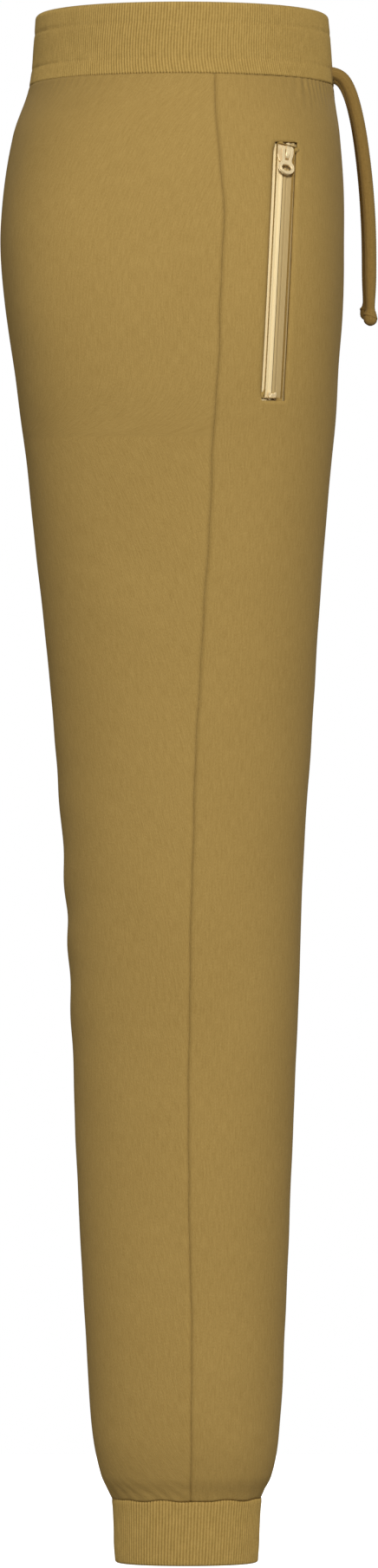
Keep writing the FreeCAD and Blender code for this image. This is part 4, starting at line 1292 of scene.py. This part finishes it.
arm = 1.75
tab_half = [(2.7, 0.0), (2.7, 2.3), (3.2, 3.6), (5.5, 3.6), (9.0, 3.5), (12.4, 3.35), (13.8, 3.6),
            (15.2, 4.9), (17.0, 5.6), (19.0, 5.65), (21.0, 4.7), (22.3, 2.7), (22.8, 0.0)]
slot = [(4.45, 0.0), (4.45, arm - 0.1), (6.0, arm + 0.1), (12.0, arm + 0.15), (13.0, 1.2), (13.0, 0.0)]


def ring_line(down, across):
    """An oval round the middle of the pull tab's ring."""
    angle = full_turn(40)
    return np.stack([RING_MIDDLE + down * np.cos(angle), across * np.sin(angle)], axis=-1)


RING_MIDDLE = 18.3
tab_outlines = [rounded(both_sides(tab_half)), rounded(both_sides(slot)), ring_line(2.65, 3.75)]
tab = stamped("pull_tab", tab_outlines, 0.4, 1.7, 0.4)
moulded_ring = stamped("pull_ring", [ring_line(3.5, 4.6), ring_line(2.8, 3.9)], 1.2, 1.95, 0.25)
pull = joined("pull_tab", [tab, moulded_ring])

chain_end = zip_length - 3.1
curl = [(-0.6, -2.9), (2.8, -2.6), (3.1, -0.5), (3.1, 0.5), (2.8, 2.6), (-0.6, 2.9), (-0.3, 1.7),
        (1.6, 1.3), (1.9, 0.0), (1.6, -1.3), (-0.3, -1.7)]
hook = [(0.6, -0.9), (3.6, -2.7), (4.4, -2.1), (2.6, 0.0), (4.4, 2.1), (3.6, 2.7), (0.6, 0.9), (0.1, 0.0)]
bottom = joined("bottom_stop", [stamped("stop_curl", [rounded(curl, 2)], -3.05, -1.95, 0.3),
                                stamped("stop_hook", [rounded(hook, 2)], -2.75, -1.7, 0.3)])
top = [(-3.0, 1.0), (-0.3, 1.0), (-0.3, 3.1), (-3.0, 3.1)]
tops = joined("top_stops", [stamped("top_stop", [rounded([(x, s * y) for x, y in top], 2)], -3.1, -2.2, 0.25)
                            for s in (-1, 1)])
metal_pieces = ((slider, 0.0, "slider", "zip_slider"), (pull, 0.0, "pull", "zip_pull_tab"),
                (bottom, chain_end, "", "zip_bottom_stop"), (tops, 0.0, "", "zip_top_stops"))
for piece, station, body, node in metal_pieces:
    for side, made in pair(settled(piece, station)).items():
        finish_as(made, zip_metal, f"{side}_{body}" if body else "garment", [f"{side}_{node}"])
print("slider points", len(slider.data.vertices))

# %% [markdown]
# ## Inside: pocket bags and overlocked seams
#
# Behind each zip hangs a pocket bag of two plies of thin jersey. It is sewn at its edges only, so it
# hangs a little slack. Every seam inside is overlocked: the cut edges are wrapped in loops of
# thread, which make a narrow, ribbed strip.


def bag_ply(name, depth, seed, windowed):
    """One ply of the pocket bag, depth mm inside the cloth. The front ply has the zip's window."""
    levels = np.linspace(ZIP_TOP_DROP - 12, ZIP_BOTTOM_DROP + 45, 90)[:, None]
    start = side_turn(levels) + 4.0
    share = np.linspace(0, 1, 58)[None, :]
    turns = start + (84.0 - start) * share
    slack = 0.0011 * wander(skin(levels, turns), 0.045, seed) * np.sin(math.pi * share)
    outer, inner = [skin(levels, turns, depth + step) + surface_frame(levels, turns)[1] * slack[..., None]
                    for step in (0.0, 0.4)]
    keep = None
    if windowed:
        across = window_distance(outer)[0]
        keep = (across[:-1, :-1] > 1.5) & (across[1:, 1:] > 1.5)
    return thick_sheet(name, outer, inner, keep)


for name, depth, seed, windowed, node in (("bag_front_ply", 8.7, 2.0, True, "pocket_bag_outer"),
                                          ("bag_back_ply", 10.4, 2.0, False, "pocket_bag_inner")):
    for side, piece in pair(bag_ply(name, depth, seed, windowed)).items():
        finish_as(piece, lining, replaced=[f"{side}_{node}"])


def overlocked(name, centre, across, out, width=6.0, thickness=1.1, pitch=2.4):
    """A strip of wrapped seam allowance along a line. across and out are directions at each point."""
    spacing = 0.6 * MM
    gone = travelled(centre)
    at = np.linspace(0, gone[-1], max(int(gone[-1] / spacing), 8))
    mid, side, face = [read_at(at, gone, v) for v in (centre, across, out)]
    turn = full_turn(14)
    wrap = 1 + 0.16 * np.cos(2 * math.pi * at[:, None] / (pitch * MM) + 2.2 * np.cos(turn))
    a = blunted(np.cos(turn), 0.6) * width / 2 * MM
    b = blunted(np.sin(turn), 0.6) * thickness / 2 * MM
    points = mid[:, None] + side[:, None] * a[None, :, None] + face[:, None] * (b * wrap)[..., None]
    faces = [tuple(f) for f in grid_faces(len(at), 14, closed=True)]
    faces += [tuple(range(14))[::-1], tuple((len(at) - 1) * 14 + i for i in range(14))]
    uv = np.stack([np.tile(a, len(at)), np.repeat(at, 14)], axis=-1)
    return outward(new_object(name, points.reshape(-1, 3), faces, uv))


def lengthwise_seam(name, levels, turns):
    """A seam allowance that runs down the leg inside the cloth."""
    depth = FLEECE + 0.7 + 0.6
    down, out = surface_frame(levels, turns)
    return overlocked(name, skin(levels, turns, depth), np.cross(down, out), out)


def round_seam(name, loop):
    """A seam allowance that runs level round the garment."""
    out = round_normals(loop[None])[0]
    return overlocked(name, looped(loop), looped(loop) * 0 + (0, 0, 1), looped(out))


levels = np.linspace(BAND_HEIGHT + 7, CUFF_SEAM_DROP - 7, 300)
lower = np.linspace(CROTCH_DROP + 12, CUFF_SEAM_DROP - 7, 220)
seams = [(lengthwise_seam("overlocked_side_seam", levels, side_turn(levels)), "side_seam"),
         (lengthwise_seam("overlocked_inseam", lower, lower * 0 + 180.0), "inseam")]
cuff_loop = leg_loop(CUFF_SEAM_DROP - 3.2, FLEECE + 1.3, 500)
seams.append((round_seam("overlocked_cuff_seam", cuff_loop), "cuff_seam"))
for piece, node in seams:
    for side, made in pair(piece).items():
        finish_as(made, thread, replaced=[f"{side}_{node}"])

waist = round_seam("overlocked_waist_seam", waist_loop(BAND_HEIGHT + 3.2, FLEECE + 1.8, 900))
finish_as(waist, thread, replaced=["waist_seam"])
for node, forward in (("front_rise_seam", True), ("back_rise_seam", False)):
    levels = np.linspace(BAND_HEIGHT + 7, CROTCH_DROP + 4, 120)
    edge = skin(levels, centre_turn(levels, forward), FLEECE + 1.3) * np.array([0, 1, 1])
    out = np.array([[0, -1.0 if forward else 1.0, 0]]).repeat(len(levels), axis=0)
    made = overlocked("overlocked_" + node, edge, out * 0 + (1, 0, 0), out)
    finish_as(made, thread, replaced=[node])
for node, material in (("waist_elastic", elastic), ("drawcord_run", cord_knit)):
    painted(frame["nodes"][node], material)
print("seam strips", len(seams) * 2 + 3)

# %% [markdown]
# ## Finish
#
# The cut panels' flat sizes and areas are listed with the panels above. The loop below goes over
# the leg panels and does nothing with them.

for which, flat, area in (("front", FRONT_FLAT, FRONT_AREA), ("back", BACK_FLAT, BACK_AREA)):
    for side, piece in panels[which].items():
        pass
